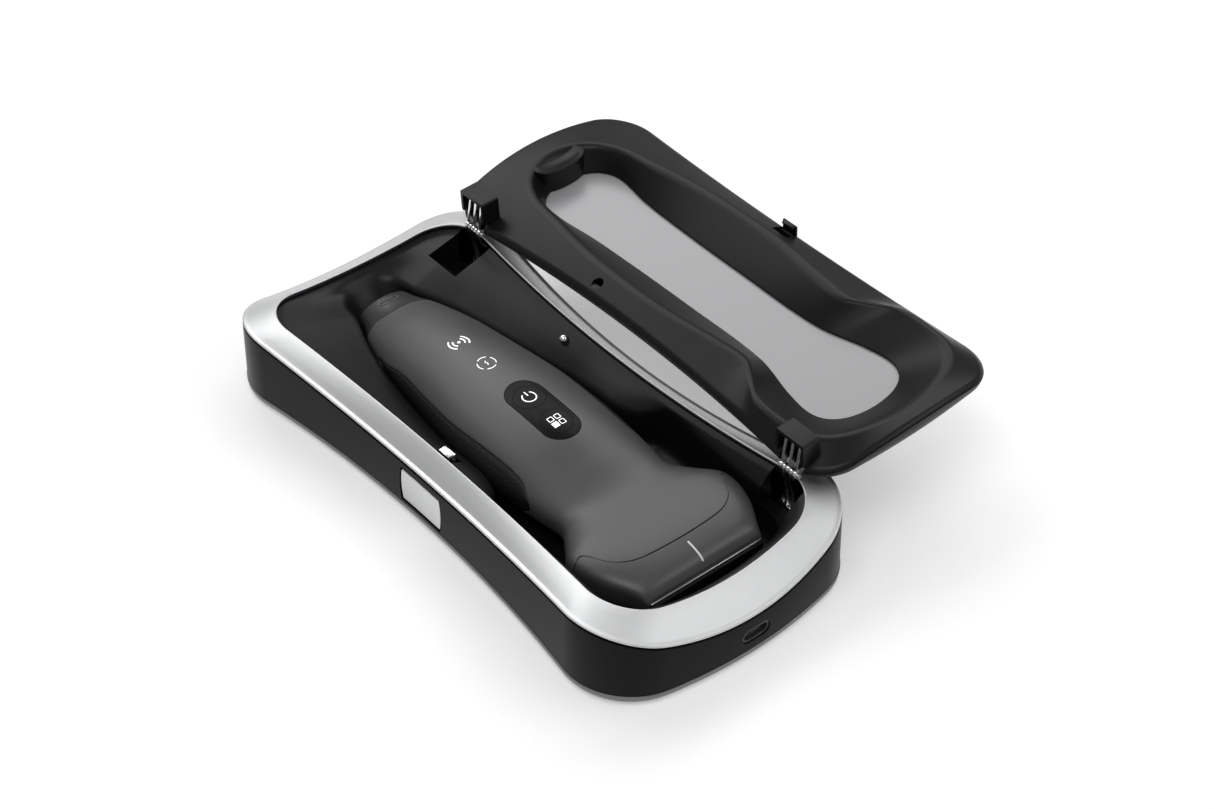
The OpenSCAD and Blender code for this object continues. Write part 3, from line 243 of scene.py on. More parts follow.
LID_GAP, LID_OPEN_ANGLE = 0.4 * MM, -177
RIM_LONG, RIM_CROSS = 1105 * MM, 93.3 * MM
LIP_LONG, LIP_CROSS = 2000 * MM, 123.5 * MM
CROWN_LONG, CROWN_CROSS = 3700 * MM, 1250 * MM


def dished(ring, low, long_radius, cross_radius):
    """Heights of a shallow dish over a plan ring."""
    x, y = ring[:, 0], ring[:, 1]
    return low + x * x / (2 * long_radius) + y * y / (2 * cross_radius)


def raised(ring, z):
    """A plan ring given its heights."""
    return np.column_stack([ring[:, :2], np.broadcast_to(z, len(ring))])


def on_rim(ring, dz=0):
    return raised(ring, dished(ring, bpy.context.scene.case_sizes.rim_low, RIM_LONG, RIM_CROSS) + dz)


def on_lip(ring, dz=0):
    return raised(ring, dished(ring, bpy.context.scene.case_sizes.lip_low, LIP_LONG, LIP_CROSS) + dz)


def on_crown(ring, dz=0):
    return raised(ring, dished(ring, bpy.context.scene.case_sizes.lid_crown, -CROWN_LONG, -CROWN_CROSS) + dz)


def between(a, b, k):
    """A ring part of the way from one to another."""
    return a + k * (b - a)


def on_dome(ring, share, dz=0):
    """A ring at a share of the height from the lip to the closed lid's crown."""
    return between(on_lip(ring), on_crown(ring), share) + [0, 0, dz]


def shifted(ring, dz):
    return ring + [0, 0, dz]


# Meshes

def unit(v):
    return v / np.maximum(np.linalg.norm(v, axis=-1, keepdims=True), 1e-12)


def rounded(rings, rounds, closed, steps=5):
    """The same rings with the bends between them rounded. Each round is a radius, or 0 to keep the bend."""
    count = len(rings)
    out = []
    for j, (ring, radius) in enumerate(zip(rings, rounds)):
        first, last = j == 0 and not closed, j == count - 1 and not closed
        if radius == 0 or first or last:
            out.append(ring)
            continue
        before, after = rings[j - 1] - ring, rings[(j + 1) % count] - ring
        limit = 0.48 * np.minimum(np.linalg.norm(before, axis=1), np.linalg.norm(after, axis=1))[:, None]
        reach = np.minimum(radius, limit)
        start, end = ring + unit(before) * reach, ring + unit(after) * reach
        for k in range(steps + 1):
            t = k / steps
            out.append((1 - t) ** 2 * start + 2 * t * (1 - t) * ring + t * t * end)
    return out


def loft(rings, closed=False, caps="fan"):
    """Points and faces over closed rings. Open ends get a fan from their middle, or a ladder across."""
    rings = np.array(rings)
    m, n, _ = rings.shape
    points = rings.reshape(-1, 3)
    i = np.arange(n)
    k = (i + 1) % n
    spans = m if closed else m - 1
    faces = []
    for j in range(spans):
        a, b = j * n, (j + 1) % m * n
        faces += np.stack([a + i, a + k, b + k, b + i], 1).tolist()
    if not closed and caps == "fan":
        points = np.vstack([points, rings[0].mean(0), rings[-1].mean(0)])
        faces += [[f, int(i[g]), m * n] for f, g in zip(k.tolist(), range(n))]
        top = (m - 1) * n
        faces += [[top + g, top + int(k[g]), m * n + 1] for g in range(n)]
    if not closed and caps == "ladder":
        for base, turned in ((0, True), ((m - 1) * n, False)):
            for g in range(n // 2):
                f = [g, g + 1, n - g - 1, (n - g) % n]
                f = [base + v for v in dict.fromkeys(f)]
                if len(f) > 2:
                    faces.append(f[::-1] if turned else f)
    return points, faces


def signed_volume(points, faces):
    """Volume of a closed mesh, under 0 if its faces look inward."""
    total = 0.0
    for f in faces:
        a = points[f[0]]
        for b, c in zip(f[1:-1], f[2:]):
            total += float(np.dot(a, np.cross(points[b], points[c])))
    return total / 6


def lid_opened(points):
    """Points of the closed lid, turned about the hinge to the open lid."""
    y0, z0 = hinge_place()[1:]
    angle = math.radians(LID_OPEN_ANGLE)
    y, z = points[:, 1] - y0, points[:, 2] - z0
    return np.column_stack([points[:, 0], y0 + y * math.cos(angle) - z * math.sin(angle),
                            z0 + y * math.sin(angle) + z * math.cos(angle)])


def linked(name, data):
    """A new object of some data, in the scene."""
    obj = bpy.data.objects.new(name, data)
    bpy.context.scene.collection.objects.link(obj)
    return obj


def build_mesh(name, points, faces, flip=None):
    """An object of points and faces, which are turned if they make an inside-out solid."""
    mesh = bpy.data.meshes.new(name)
    if flip is None:
        sample = np.asarray(points)
        flip = signed_volume(sample, faces) < 0
    if flip:
        faces = [f[::-1] for f in faces]
    mesh.from_pydata(np.asarray(points).tolist(), [], faces)
    mesh.validate()
    return linked(name, mesh)


def painted(mesh, finish):
    """Gives a mesh one material of MATERIALS."""
    mesh.materials.clear()
    mesh.materials.append(MATERIALS[finish])
    mesh.polygons.foreach_set("material_index", [0] * len(mesh.polygons))


def dress(obj, body, slot, nodes=(), sharp=SHARP_ANGLE, finish=None):
    """Shades a finished mesh, gives it its material and ties it to its CAD body, slot and nodes.
    The material has the slot's name, unless another finish is named."""
    mesh = obj.data
    painted(mesh, finish or slot)
    mesh.shade_smooth()
    mesh.set_sharp_from_angle(angle=math.radians(sharp))
    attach(obj, body)
    if nodes:
        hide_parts(*nodes)
    return obj


def evaluated_mesh(obj):
    """Turns an object's modifiers into its mesh."""
    bpy.context.view_layer.update()
    made = bpy.data.meshes.new_from_object(obj.evaluated_get(bpy.context.evaluated_depsgraph_get()))
    obj.modifiers.clear()
    obj.data = made
    return obj


def carve(obj, tools, operation="DIFFERENCE"):
    """Cuts tools out of an object, or joins them to it, and deletes them."""
    for tool in tools:
        step = obj.modifiers.new("carve", "BOOLEAN")
        step.operation, step.object, step.solver = operation, tool, "MANIFOLD"
    evaluated_mesh(obj)
    for tool in tools:
        bpy.data.objects.remove(tool)
    return obj


def prism(name, outline, axis, low, high):
    """A solid of a flat outline, drawn along axis 0, 1 or 2 from low to high."""
    flat = np.asarray(outline, float)
    rings = []
    for level in (low, high):
        rings.append(np.insert(flat, axis, level, axis=1))
    points, faces = loft(rings)
    return build_mesh(name, points, faces)


def box_outline(u0, u1, v0, v1, radius=0, steps=6):
    """A rectangle, with round corners if it has a radius."""
    if radius == 0:
        return [(u0, v0), (u1, v0), (u1, v1), (u0, v1)]
    out = []
    for cu, cv, start in ((u1 - radius, v1 - radius, 0), (u0 + radius, v1 - radius, 1),
                          (u0 + radius, v0 + radius, 2), (u1 - radius, v0 + radius, 3)):
        for k in range(steps + 1):
            a = QUARTER * (start + k / steps)
            out.append((cu + radius * math.cos(a), cv + radius * math.sin(a)))
    return out


def circle_outline(u, v, radius, steps=48):
    return [(u + radius * math.cos(2 * math.pi * k / steps), v + radius * math.sin(2 * math.pi * k / steps))
            for k in range(steps)]


def softened(node, body, slot, width, segments=2, limit=35):
    """A copy of a CAD node with its edges broken, which stands for the node."""
    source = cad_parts[node]
    obj = linked("soft_" + node, source.data.copy())
    weld = obj.modifiers.new("weld", "WELD")
    weld.merge_threshold = 1e-6
    flat = obj.modifiers.new("flat", "DECIMATE")
    flat.decimate_type, flat.angle_limit = "DISSOLVE", math.radians(1)
    edge = obj.modifiers.new("edge", "BEVEL")
    edge.width, edge.segments, edge.limit_method = width, segments, "ANGLE"
    edge.angle_limit, edge.use_clamp_overlap = math.radians(limit), True
    evaluated_mesh(obj)
    return dress(obj, body, slot, [node])


# Materials

class Maths:
    """A shader value that Python's operators work on."""

    def __init__(self, shader, socket):
        self.shader, self.socket = shader, socket

    def _math(self, operation, a, b):
        return self.shader.value("ShaderNodeMath", 0, {"operation": operation}, {0: a, 1: b})

    def __add__(self, other):
        return self._math("ADD", self, other)

    __radd__ = __add__

    def __sub__(self, other):
        return self._math("SUBTRACT", self, other)

    def __rsub__(self, other):
        return self._math("SUBTRACT", other, self)

    def __mul__(self, other):
        return self._math("MULTIPLY", self, other)

    __rmul__ = __mul__

    def __truediv__(self, other):
        return self._math("DIVIDE", self, other)


class Shader:
    """One material's node tree."""

    def __init__(self, name):
        self.material = bpy.data.materials.new(name)
        self.material.use_nodes = True
        self.tree = self.material.node_tree
        self.tree.nodes.clear()
        self.out = self.tree.nodes.new("ShaderNodeOutputMaterial")
        self.place = self.value("ShaderNodeTexCoord", "Object")

    def node(self, kind, settings=None, values=None):
        """Adds a node with its settings, and then the values or links of its sockets."""
        made = self.tree.nodes.new(kind)
        for key, setting in (settings or {}).items():
            if key == "stops":
                ramp = made.color_ramp
                while len(ramp.elements) < len(setting):
                    ramp.elements.new(1)
                for element, (position, shade) in zip(ramp.elements, setting):
                    element.position, element.color = position, shade
            else:
                setattr(made, key, setting)
        for key, item in (values or {}).items():
            if isinstance(item, Maths):
                self.tree.links.new(item.socket, made.inputs[key])
            else:
                made.inputs[key].default_value = item
        return made

    def value(self, kind, output, settings=None, values=None):
        return Maths(self, self.node(kind, settings, values).outputs[output])

    def noise(self, scale, detail=2.0, roughness=0.5):
        return self.value("ShaderNodeTexNoise", "Fac", None, {
            "Vector": self.place, "Scale": scale, "Detail": detail, "Roughness": roughness})

    def cells(self, scale, feature="F1"):
        return self.value("ShaderNodeTexVoronoi", "Distance", {"feature": feature},
                          {"Vector": self.place, "Scale": scale})

    def ramp(self, factor, low, high):
        """Greys or colours from low to high."""
        stops = [(0, (*low, 1)), (1, (*high, 1))]
        return self.value("ShaderNodeValToRGB", "Color", {"stops": stops}, {"Fac": factor})

    def bump(self, height, strength, distance):
        return self.value("ShaderNodeBump", "Normal", None, {
            "Height": height, "Strength": strength, "Distance": distance})

    def finish(self, **sockets):
        """Ends the tree in a Principled shader with these sockets."""
        named = {key.replace("_", " ").title().replace("Ior", "IOR"): item for key, item in sockets.items()}
        shader = self.value("ShaderNodeBsdfPrincipled", "BSDF", None, named)
        self.tree.links.new(shader.socket, self.out.inputs["Surface"])
        return self.material


def scaled(colour, factor):
    return tuple(min(1.0, c * factor) for c in colour)


def satin_metal(name, colour, roughness=0.42, grain=0.5):
    """Bead-blasted and anodised metal: fine sparkle in its roughness and a shallow grain."""
    s = Shader(name)
    fine = s.noise(2600, 2)
    broad = s.noise(18, 2)
    return s.finish(
        base_color=s.ramp(fine * 0.75 + broad * 0.25, scaled(colour, 0.93), scaled(colour, 1.05)),
        metallic=1.0, roughness=fine * 0.12 + (roughness - 0.06),
        normal=s.bump(fine, grain, 0.00004))


def polished_metal(name, colour, roughness=0.16):
    """Bright drawn steel with faint lengthwise lines."""
    s = Shader(name)
    lines = s.value("ShaderNodeTexNoise", "Fac", None, {
        "Vector": s.value("ShaderNodeMapping", "Vector", None, {
            "Vector": s.place, "Scale": (4000, 250, 250)}), "Scale": 1.0, "Detail": 2.0})
    return s.finish(base_color=s.ramp(lines, scaled(colour, 0.88), scaled(colour, 1.06)), metallic=1.0,
                    roughness=lines * 0.12 + (roughness - 0.06), normal=s.bump(lines, 0.12, 0.00002))


def moulded(name, colour, roughness=0.5, grain=0.35, scale=1900, level=0.5):
    """Moulded plastic with a spark-eroded grain."""
    s = Shader(name)
    fine = s.noise(scale, 3, 0.6)
    broad = s.noise(26, 3)
    return s.finish(
        base_color=s.ramp(broad * 0.6 + fine * 0.4, scaled(colour, 0.86), scaled(colour, 1.16)),
        roughness=fine * 0.1 + broad * 0.05 + (roughness - 0.075),
        normal=s.bump(fine, grain, 0.00004), specular_ior_level=level)


def soft_paint(name, colour, roughness=0.42):
    """Soft-touch paint: a matt base under a thin satin top coat."""
    s = Shader(name)
    fine = s.noise(3200, 2)
    broad = s.noise(22, 2)
    return s.finish(
        base_color=s.ramp(broad * 0.7 + fine * 0.3, scaled(colour, 0.94), scaled(colour, 1.06)),
        roughness=fine * 0.08 + (roughness - 0.04), normal=s.bump(fine, 0.16, 0.00002),
        coat_weight=0.12, coat_roughness=0.35)


def stippled_rubber(name, colour):
    """Grip rubber with a pebbled skin, with painted shade in the hollows between the pebbles."""
    s = Shader(name)
    pebbles = s.cells(1300)
    fine = s.noise(4000, 2)
    # Painted shade: the colour is lighter on the pebbles' tops and darker in the hollows between them.
    return s.finish(
        base_color=s.ramp(pebbles, scaled(colour, 1.3), scaled(colour, 0.6)),
        roughness=pebbles * 0.15 + 0.5, normal=s.bump(pebbles * -1 + fine * 0.2, 0.6, 0.0002),
        specular_ior_level=0.3)


def gloss_black(name, colour, roughness=0.16):
    """Clear-coated black film."""
    s = Shader(name)
    broad = s.noise(60, 2)
    fine = s.noise(3000, 2)
    return s.finish(
        base_color=s.ramp(broad, colour, scaled(colour, 1.5)), roughness=fine * 0.05 + (roughness - 0.02),
        specular_ior_level=0.08, normal=s.bump(broad, 0.02, 0.0001), coat_weight=0.04, coat_roughness=0.1)


def smoked_window(name, colour):
    """Smoke-tinted sheet with a satin inner face, painted paler towards the tail and darker towards the head:
    painted reflection and shade.
    """
    s = Shader(name)
    along = s.value("ShaderNodeSeparateXYZ", "X", None, {0: s.place})
    fine = s.noise(2400, 2)
    half = bpy.context.scene.case_sizes.half_length
    # Painted reflection and shade: the colour runs paler at the tail and darker at the head.
    shade = (along + half) / (2 * half)
    return s.finish(
        base_color=s.ramp(shade + (fine - 0.5) * 0.04, scaled(colour, 1.15), scaled(colour, 0.88)),
        roughness=fine * 0.06 + 0.27, normal=s.bump(fine, 0.08, 0.00002), coat_weight=0.35,
        coat_roughness=0.18)


def lit_sign(name, colour, strength=0.75):
    """A lit white sign."""
    s = Shader(name)
    fine = s.noise(900, 2)
    shade = s.ramp(fine, scaled(colour, 0.95), colour)
    return s.finish(base_color=shade, emission_color=shade, emission_strength=strength, roughness=0.5)


def circuit_board(name):
    """Green board with lighter tracks."""
    s = Shader(name)
    tracks = s.cells(420, "DISTANCE_TO_EDGE")
    return s.finish(base_color=s.ramp(tracks * 9, (0.05, 0.2, 0.09), (0.008, 0.06, 0.03)),
                    roughness=tracks * 0.4 + 0.3, normal=s.bump(tracks, 0.3, 0.00005))


def wound_copper(name, centre):
    """Turns of varnished wire about a centre."""
    s = Shader(name)
    moved = s.value("ShaderNodeMapping", "Vector", None, {"Vector": s.place, "Location": (-centre, 0, 0)})
    rings = s.value("ShaderNodeTexWave", "Fac", {"wave_type": "RINGS", "rings_direction": "Z"},
                    {"Vector": moved, "Scale": 500.0, "Distortion": 0.0})
    return s.finish(base_color=s.ramp(rings, (0.2, 0.06, 0.02), (0.72, 0.34, 0.16)), metallic=1.0,
                    roughness=rings * -0.2 + 0.45, normal=s.bump(rings, 0.6, 0.0001))


def pale_foil(name, colour):
    """Shrink film over a cell."""
    s = Shader(name)
    folds = s.noise(160, 4)
    return s.finish(base_color=s.ramp(folds, scaled(colour, 0.8), scaled(colour, 1.15)),
                    roughness=folds * 0.3 + 0.25, normal=s.bump(folds, 0.3, 0.0003))


def mix_materials():
    """Makes every finish of the object once."""
    finishes = bpy.context.scene.finishes
    silver, steel, shell, probe, rubber, gloss, smoke, glow = (
        tuple(getattr(finishes, key)) for key in finishes.__annotations__)
    MATERIALS.update({
        "bezel_silver": satin_metal("satin_silver", silver, 0.5, 0.8),
        # The trim gets a darker copy of the bezel's silver: painted shade at the case's foot.
        "trim_silver": satin_metal("trim_silver", scaled(silver, 0.3), 0.4),
        "button_silver": satin_metal("button_silver", scaled(silver, 0.96), 0.4),
        # One moulded black for the whole shell, given to each part at its own strength and reflectance to match
        # how that part is lit: painted shade, darkest on the wall.
        "wall_black": moulded("wall_black", scaled(shell, 0.55), 0.36, level=0.1),
        "tray_black": moulded("tray_black", scaled(shell, 0.6), 0.34, level=0.24),
        "lid_black": moulded("lid_black", scaled(shell, 0.8), 0.36, level=0.16),
        "liner_black": moulded("liner_black", scaled(shell, 0.7), 0.34, level=0.22),
        "plate_black": moulded("plate_black", scaled(shell, 0.9), 0.6),
        "pad_rubber": moulded("pad_rubber", (0.02, 0.02, 0.02), 0.8, 0.7, 900),
        "port_black": moulded("port_black", (0.03, 0.03, 0.031), 0.3),
        "switch_grey": moulded("switch_grey", (0.5, 0.5, 0.47), 0.45),
        "steel": polished_metal("steel", steel, 0.25),
        "hinge_steel": polished_metal("hinge_steel", steel, 0.17),
        "spring_steel": polished_metal("spring_steel", scaled(steel, 0.85), 0.22),
        "stud_chrome": polished_metal("stud_chrome", scaled(steel, 1.08), 0.08),
        "bead_silver": polished_metal("bead_silver", scaled(steel, 0.85), 0.3),
        "probe_grey": soft_paint("probe_grey", scaled(probe, 0.8), 0.4),
        # The head cover gets a darker copy of the housing's paint: painted shade on the head.
        "head_grey": soft_paint("head_grey", scaled(probe, 0.66), 0.38),
        "collar_grey": soft_paint("collar_grey", scaled(probe, 0.22), 0.26),
        "grip_rubber": stippled_rubber("grip_rubber", rubber),
        "panel_black": gloss_black("panel_black", gloss, 0.3),
        "lens_black": gloss_black("lens_black", scaled(gloss, 1.2), 0.32),
        "window_smoke": smoked_window("window_smoke", smoke),
        # The centre mark is no lamp: its faint glow is painted light.
        "mark_white": lit_sign("mark_white", scaled(glow, 0.7), 0.1),
        "light_white": lit_sign("light_white", glow),
        "board_green": circuit_board("board_green"),
        "copper": wound_copper("wound_copper", -14 * MM),
        "ferrite": moulded("ferrite", (0.04, 0.04, 0.043), 0.6, 0.5, 700),
        "cell_foil": pale_foil("cell_foil", (0.2, 0.25, 0.36)),
        "ceramic": pale_foil("ceramic", (0.35, 0.27, 0.16)),
    })


# Repeated shapes

def repeat_tree(name, shape, spread, material):
    """A node tree that copies one small shape along a rule. The shape and the rule are a node's type,
    its settings and its sockets, and a socket given a label and a value becomes an input of the tree."""
    tree = bpy.data.node_groups.new(name, "GeometryNodeTree")
    given, out = tree.nodes.new("NodeGroupInput"), tree.nodes.new("NodeGroupOutput")
    tree.interface.new_socket("Geometry", in_out="OUTPUT", socket_type="NodeSocketGeometry")
    labels = {}

    def placed(kind, settings, sockets):
        node = tree.nodes.new(kind)
        for key, setting in settings.items():
            setattr(node, key, setting)
        for key, item in sockets.items():
            if not isinstance(item, tuple) or not isinstance(item[0], str):
                node.inputs[key].default_value = item
                continue
            label, value = item
            sort = {int: "NodeSocketInt", float: "NodeSocketFloat"}.get(type(value), "NodeSocketVector")
            socket = tree.interface.new_socket(label, in_out="INPUT", socket_type=sort)
            labels[label] = (socket.identifier, value)
            tree.links.new(given.outputs[label], node.inputs[key])
        return node

    dot, rule = placed(*shape), placed(*spread)
    copies = tree.nodes.new("GeometryNodeInstanceOnPoints")
    moved = placed("GeometryNodeTransform", {}, {"Translation": ("Centre", (0.0, 0.0, 0.0)),
                                                 "Rotation": ("Turn", (0.0, 0.0, 0.0))})
    real, finish = tree.nodes.new("GeometryNodeRealizeInstances"), tree.nodes.new("GeometryNodeSetMaterial")
    finish.inputs["Material"].default_value = material
    chain = [(rule, 0, copies, "Points"), (dot, 0, copies, "Instance"), (copies, 0, moved, "Geometry"),
             (moved, 0, real, "Geometry"), (real, 0, finish, "Geometry"), (finish, 0, out, 0)]
    for source, output, target, socket in chain:
        tree.links.new(source.outputs[output], target.inputs[socket])
    return tree, labels


def repeated(name, tree_and_labels, **inputs):
    """A mesh made by a repeating tree, with its inputs set by label."""
    tree, labels = tree_and_labels
    obj = build_mesh(name, np.zeros((0, 3)), [], flip=False)
    step = obj.modifiers.new("repeat", "NODES")
    step.node_group = tree
    for label, (identifier, value) in labels.items():
        step[identifier] = inputs.get(label.lower().replace(" ", "_"), value)
    return evaluated_mesh(obj)


# Case

WALL_DRAFT = 0.5 * MM
TRIM_FLARE, TRIM_TAPER, TRIM_WIDTH = 0.7 * MM, 0.9 * MM, 5.2 * MM
SHADOW_GAP = 0.6 * MM
FLANGE_WIDTH, FLANGE_HEIGHT = 8 * MM, 1.6 * MM
BEZEL_BEAD, BEZEL_EDGE, BEZEL_TUCK = 0.9 * MM, 0.35 * MM, 0.9 * MM
STEP_IN, STEP_RISE = 1.15 * MM, 0.55 * MM
BEZEL_SWELL = ((0.35, 0.25 * MM), (0.75, 0.22 * MM))
LIP_DEPTH, SKIRT_WIDTH, SKIRT_DEPTH = 1.6 * MM, 1.2 * MM, 3 * MM
BUTTON_BOW, BUTTON_STEPS, BUTTON_GAP = 26 * MM, 16, 0.6 * MM
PORT_RADIUS, PORT_FRAME = 1.6 * MM, 0.8 * MM
SEAT_GAP, FIT_GAP, RUN_GAP = 0.3 * MM, 0.2 * MM, 0.05 * MM


def make_bottom_trim():
    """The bright ring round the underside, which flares outward."""
    plan = case_outline()
    low, high = node_low("bottom_trim").z, node_high("bottom_trim").z
    outer, lower = plan.inset(-TRIM_FLARE).ring(), plan.inset(TRIM_TAPER - TRIM_FLARE).ring()
    inner = plan.inset(TRIM_WIDTH - WALL_DRAFT).ring()
    rings = [raised(lower, low), raised(outer, (low + high) / 2), raised(outer, high),
             raised(inner, high), raised(inner, low)]
    soft = rounded(rings, [0.3 * MM, 0.6 * MM, 0.35 * MM, 0, 0], True, 5)
    obj = build_mesh("trim_ring", *loft(soft, closed=True))
    # The trim's darker silver is painted shade.
    return dress(obj, "base", "trim_silver", ["bottom_trim"])


def button_outline(grow):
    """The button's outline with bowed ends, across and up."""
    low, high = node_low("latch_button"), node_high("latch_button")
    half, mid, tall = (high.x - low.x) / 2 + grow, (low.z + high.z) / 2, (high.z - low.z) / 2 + grow
    out = []
    for side in (1, -1):
        for k in range(BUTTON_STEPS + 1):
            z = side * tall * (2 * k / BUTTON_STEPS - 1)
            out.append((side * (half - BUTTON_BOW + math.sqrt(BUTTON_BOW * BUTTON_BOW - z * z)), mid + z))
    return out


def port_outline(grow):
    low, high = node_low("port_socket"), node_high("port_socket")
    return box_outline(low.y - grow, high.y + grow, low.z - grow, high.z + grow, PORT_RADIUS + grow)


def make_side_wall():
    """The drafted wall with its foot flange, and its openings for the button and the port."""
    s = bpy.context.scene.case_sizes
    plan = case_outline()
    low_z = node_low("side_wall").z
    high, low = plan.ring(), plan.inset(-WALL_DRAFT).ring()
    within, ledge = plan.inset(s.wall).ring(), plan.inset(FLANGE_WIDTH).ring()
    rings = [raised(low, low_z), on_rim(high, -SHADOW_GAP), on_rim(within, -SHADOW_GAP),
             raised(within, low_z + FLANGE_HEIGHT), raised(ledge, low_z + FLANGE_HEIGHT), raised(ledge, low_z)]
    soft = rounded(rings, [0.25 * MM, 0.35 * MM, 0.3 * MM, 0, 0, 0], True, 4)
    obj = build_mesh("wall_shell", *loft(soft, closed=True))
    window = prism("window_tool", button_outline(BUTTON_GAP), 1, -s.half_waist - 4 * s.wall,
                   -s.half_waist + 2 * s.wall)
    port = prism("port_tool", port_outline(PORT_FRAME + RUN_GAP), 0, s.half_length - 2 * s.wall,
                 s.half_length + 2 * s.wall)
    carve(obj, [window, port])
    # The wall's darker black is painted shade.
    return dress(obj, "base", "wall_black", ["side_wall"], WALL_SHARP_ANGLE)


def make_bezel():
    """The dished frame: a bead at its outer edge, a fine step, a slope that swells a little, and a lip."""
    s = bpy.context.scene.case_sizes
    plan, lip = case_outline(), lip_outline()
    skirt = s.wall + SEAT_GAP
    edge = plan.inset(BEZEL_EDGE).ring()
    rings = [on_rim(edge), on_rim(plan.ring(), BEZEL_EDGE), on_rim(edge, BEZEL_BEAD),
             on_lip(lip.inset(-BEZEL_EDGE).ring()), on_lip(lip.ring(), -BEZEL_EDGE),
             on_lip(lip.inset(-BEZEL_TUCK).ring(), -LIP_DEPTH),
             on_rim(plan.inset(skirt + SKIRT_WIDTH).ring(), -SKIRT_DEPTH),
             on_rim(plan.inset(skirt).ring(), -SKIRT_DEPTH), on_rim(plan.inset(skirt).ring())]
    crease, slope = on_rim(plan.inset(BEZEL_EDGE + STEP_IN).ring(), BEZEL_BEAD + STEP_RISE), rings[3]
    rings[3:3] = [crease] + [shifted(between(crease, slope, place), swell) for place, swell in BEZEL_SWELL]
    rounds = [0.2 * MM, 0.3 * MM, 0.3 * MM, 0.25 * MM, 2.4 * MM, 2.2 * MM, 0.4 * MM, 0.25 * MM, 0, 0, 0, 0]
    obj = build_mesh("bezel_ring", *loft(rounded(rings, rounds, True, 5), closed=True))
    return dress(obj, "base", "bezel_silver", ["bezel"])


# Tray

END_POWER = 20
TRAY_WALL, TRAY_LAP, TRAY_SEAT = 1.4 * MM, 0.5 * MM, 0.4 * MM
GROOVE_IN, GROOVE_DEEP, SOFT_SHARE, SOFT_RISE = 1.6 * MM, 1 * MM, 0.45, 0.35
RECESS_TAIL, RECESS_HEAD = node_low("tail_ring").x - 10.8 * MM, node_high("head_shell").x + 6.5 * MM
RECESS_HALF = 89 * MM
RECESS_DRAFT, FLOOR_IN, FLOOR_RISE = 1 * MM, 4.4 * MM, 2.2 * MM
SCOOP_IN, SCOOP_MID, SCOOP_END, SCOOP_Z = 4.5 * MM, 8.3 * MM, 9.6 * MM, 12.8 * MM
FLOOR_GAP = 0.3 * MM
POCKET_WIDTH, POCKET_RADIUS, POCKET_WALL = 14 * MM, 16.6 * MM, 1.2 * MM
ARM_SLOT, TRAY_SLOT_OUT, SLOT_IN = 3.4 * MM, -34.7 * MM, -28.9 * MM
STUD_SEAT, PIN_HALF = 3 * MM, 4.4 * MM


def pinched_ring(x0, x1, d, width, power, n=FINE):
    """A ring between two ends whose half width follows a curve, drawn in by d."""
    turn = np.arange(n) * 2 * math.pi / n
    u = np.cos(turn)
    x = (x0 + x1) / 2 + (x1 - x0 - 2 * d) / 2 * u
    y = np.sign(np.round(np.sin(turn), 9)) * (width(x) - d) * np.sqrt(np.maximum(0, 1 - np.abs(u) ** power))
    return np.stack([x, y], 1)


def half_head():
    return bpy.context.scene.probe_sizes.head_width / 2


def recess_ring(tail_in, d):
    """The recess in plan, with its tail end moved in and all of it drawn in by d."""
    return pinched_ring(RECESS_TAIL + tail_in, RECESS_HEAD, d,
                        lambda x: half_head() * keyed(RECESS_SHARES, x / RECESS_HALF), END_POWER)


def on_brim(ring, dz=0):
    """A ring on the recess's upper edge, which dips beside the probe's belly."""
    low = bpy.context.scene.case_sizes.lip_low
    return raised(ring, low * keyed(BRIM_SHARES, ring[:, 0] / RECESS_HALF) + dz)


def hinge_place():
    """Distance of the hinges from the middle of the case, and the place of their axis."""
    low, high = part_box("hinge_pins")
    return high.x - PIN_HALF, (low.y + high.y) / 2, (low.z + high.z) / 2


def hinge_boxes(name, half, span, axis, low, high, radius=0):
    """A box at each hinge: its half length along the case, its span across its other drawn side, and
    its reach along an axis."""
    x = hinge_place()[0]
    return [prism(name, box_outline(c - half, c + half, *span, radius), axis, low, high) for c in (-x, x)]


def hinge_tubes(name, half, radius):
    """A round bar about the hinges' axis at each hinge."""
    x, y, z = hinge_place()
    return [prism(name, circle_outline(y, z, radius, 96), 0, c - half, c + half) for c in (-x, x)]


def stud_tool(radius, low, high):
    """A round bar where the sensor's stud stands."""
    at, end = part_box("sensor_stud")
    return prism("stud_tool", circle_outline((at.x + end.x) / 2, (at.y + end.y) / 2, radius), 2, low, high)


def slot_tool(outer, low, high):
    """A slot for the latch's catch, from an outer place across the case."""
    return prism("slot_tool", box_outline(-ARM_SLOT, ARM_SLOT, outer, SLOT_IN), 2, low, high)


def pocket_shell():
    """Walls round the pockets that the lid's hinge housings swing in."""
    sunk = TRAY_WALL / 2
    lip = lip_outline()
    outer, groove = lip.inset(sunk).ring(), lip.inset(GROOVE_IN).ring()
    rings = [raised(outer, SCOOP_Z), on_lip(outer, -LIP_DEPTH - TRAY_SEAT - sunk),
             on_lip(groove, -LIP_DEPTH - GROOVE_DEEP - sunk), on_brim(recess_ring(0, -sunk), -TRAY_WALL),
             raised(recess_ring(SCOOP_IN, RECESS_DRAFT / 2 - sunk), SCOOP_Z)]
    body = build_mesh("pocket_body", *loft(rings, closed=True))
    tubes = hinge_tubes("pocket_tube", POCKET_WIDTH / 2 + POCKET_WALL, POCKET_RADIUS + POCKET_WALL)
    carve(tubes[0], tubes[1:], "UNION")
    return carve(body, tubes[:1], "INTERSECT")


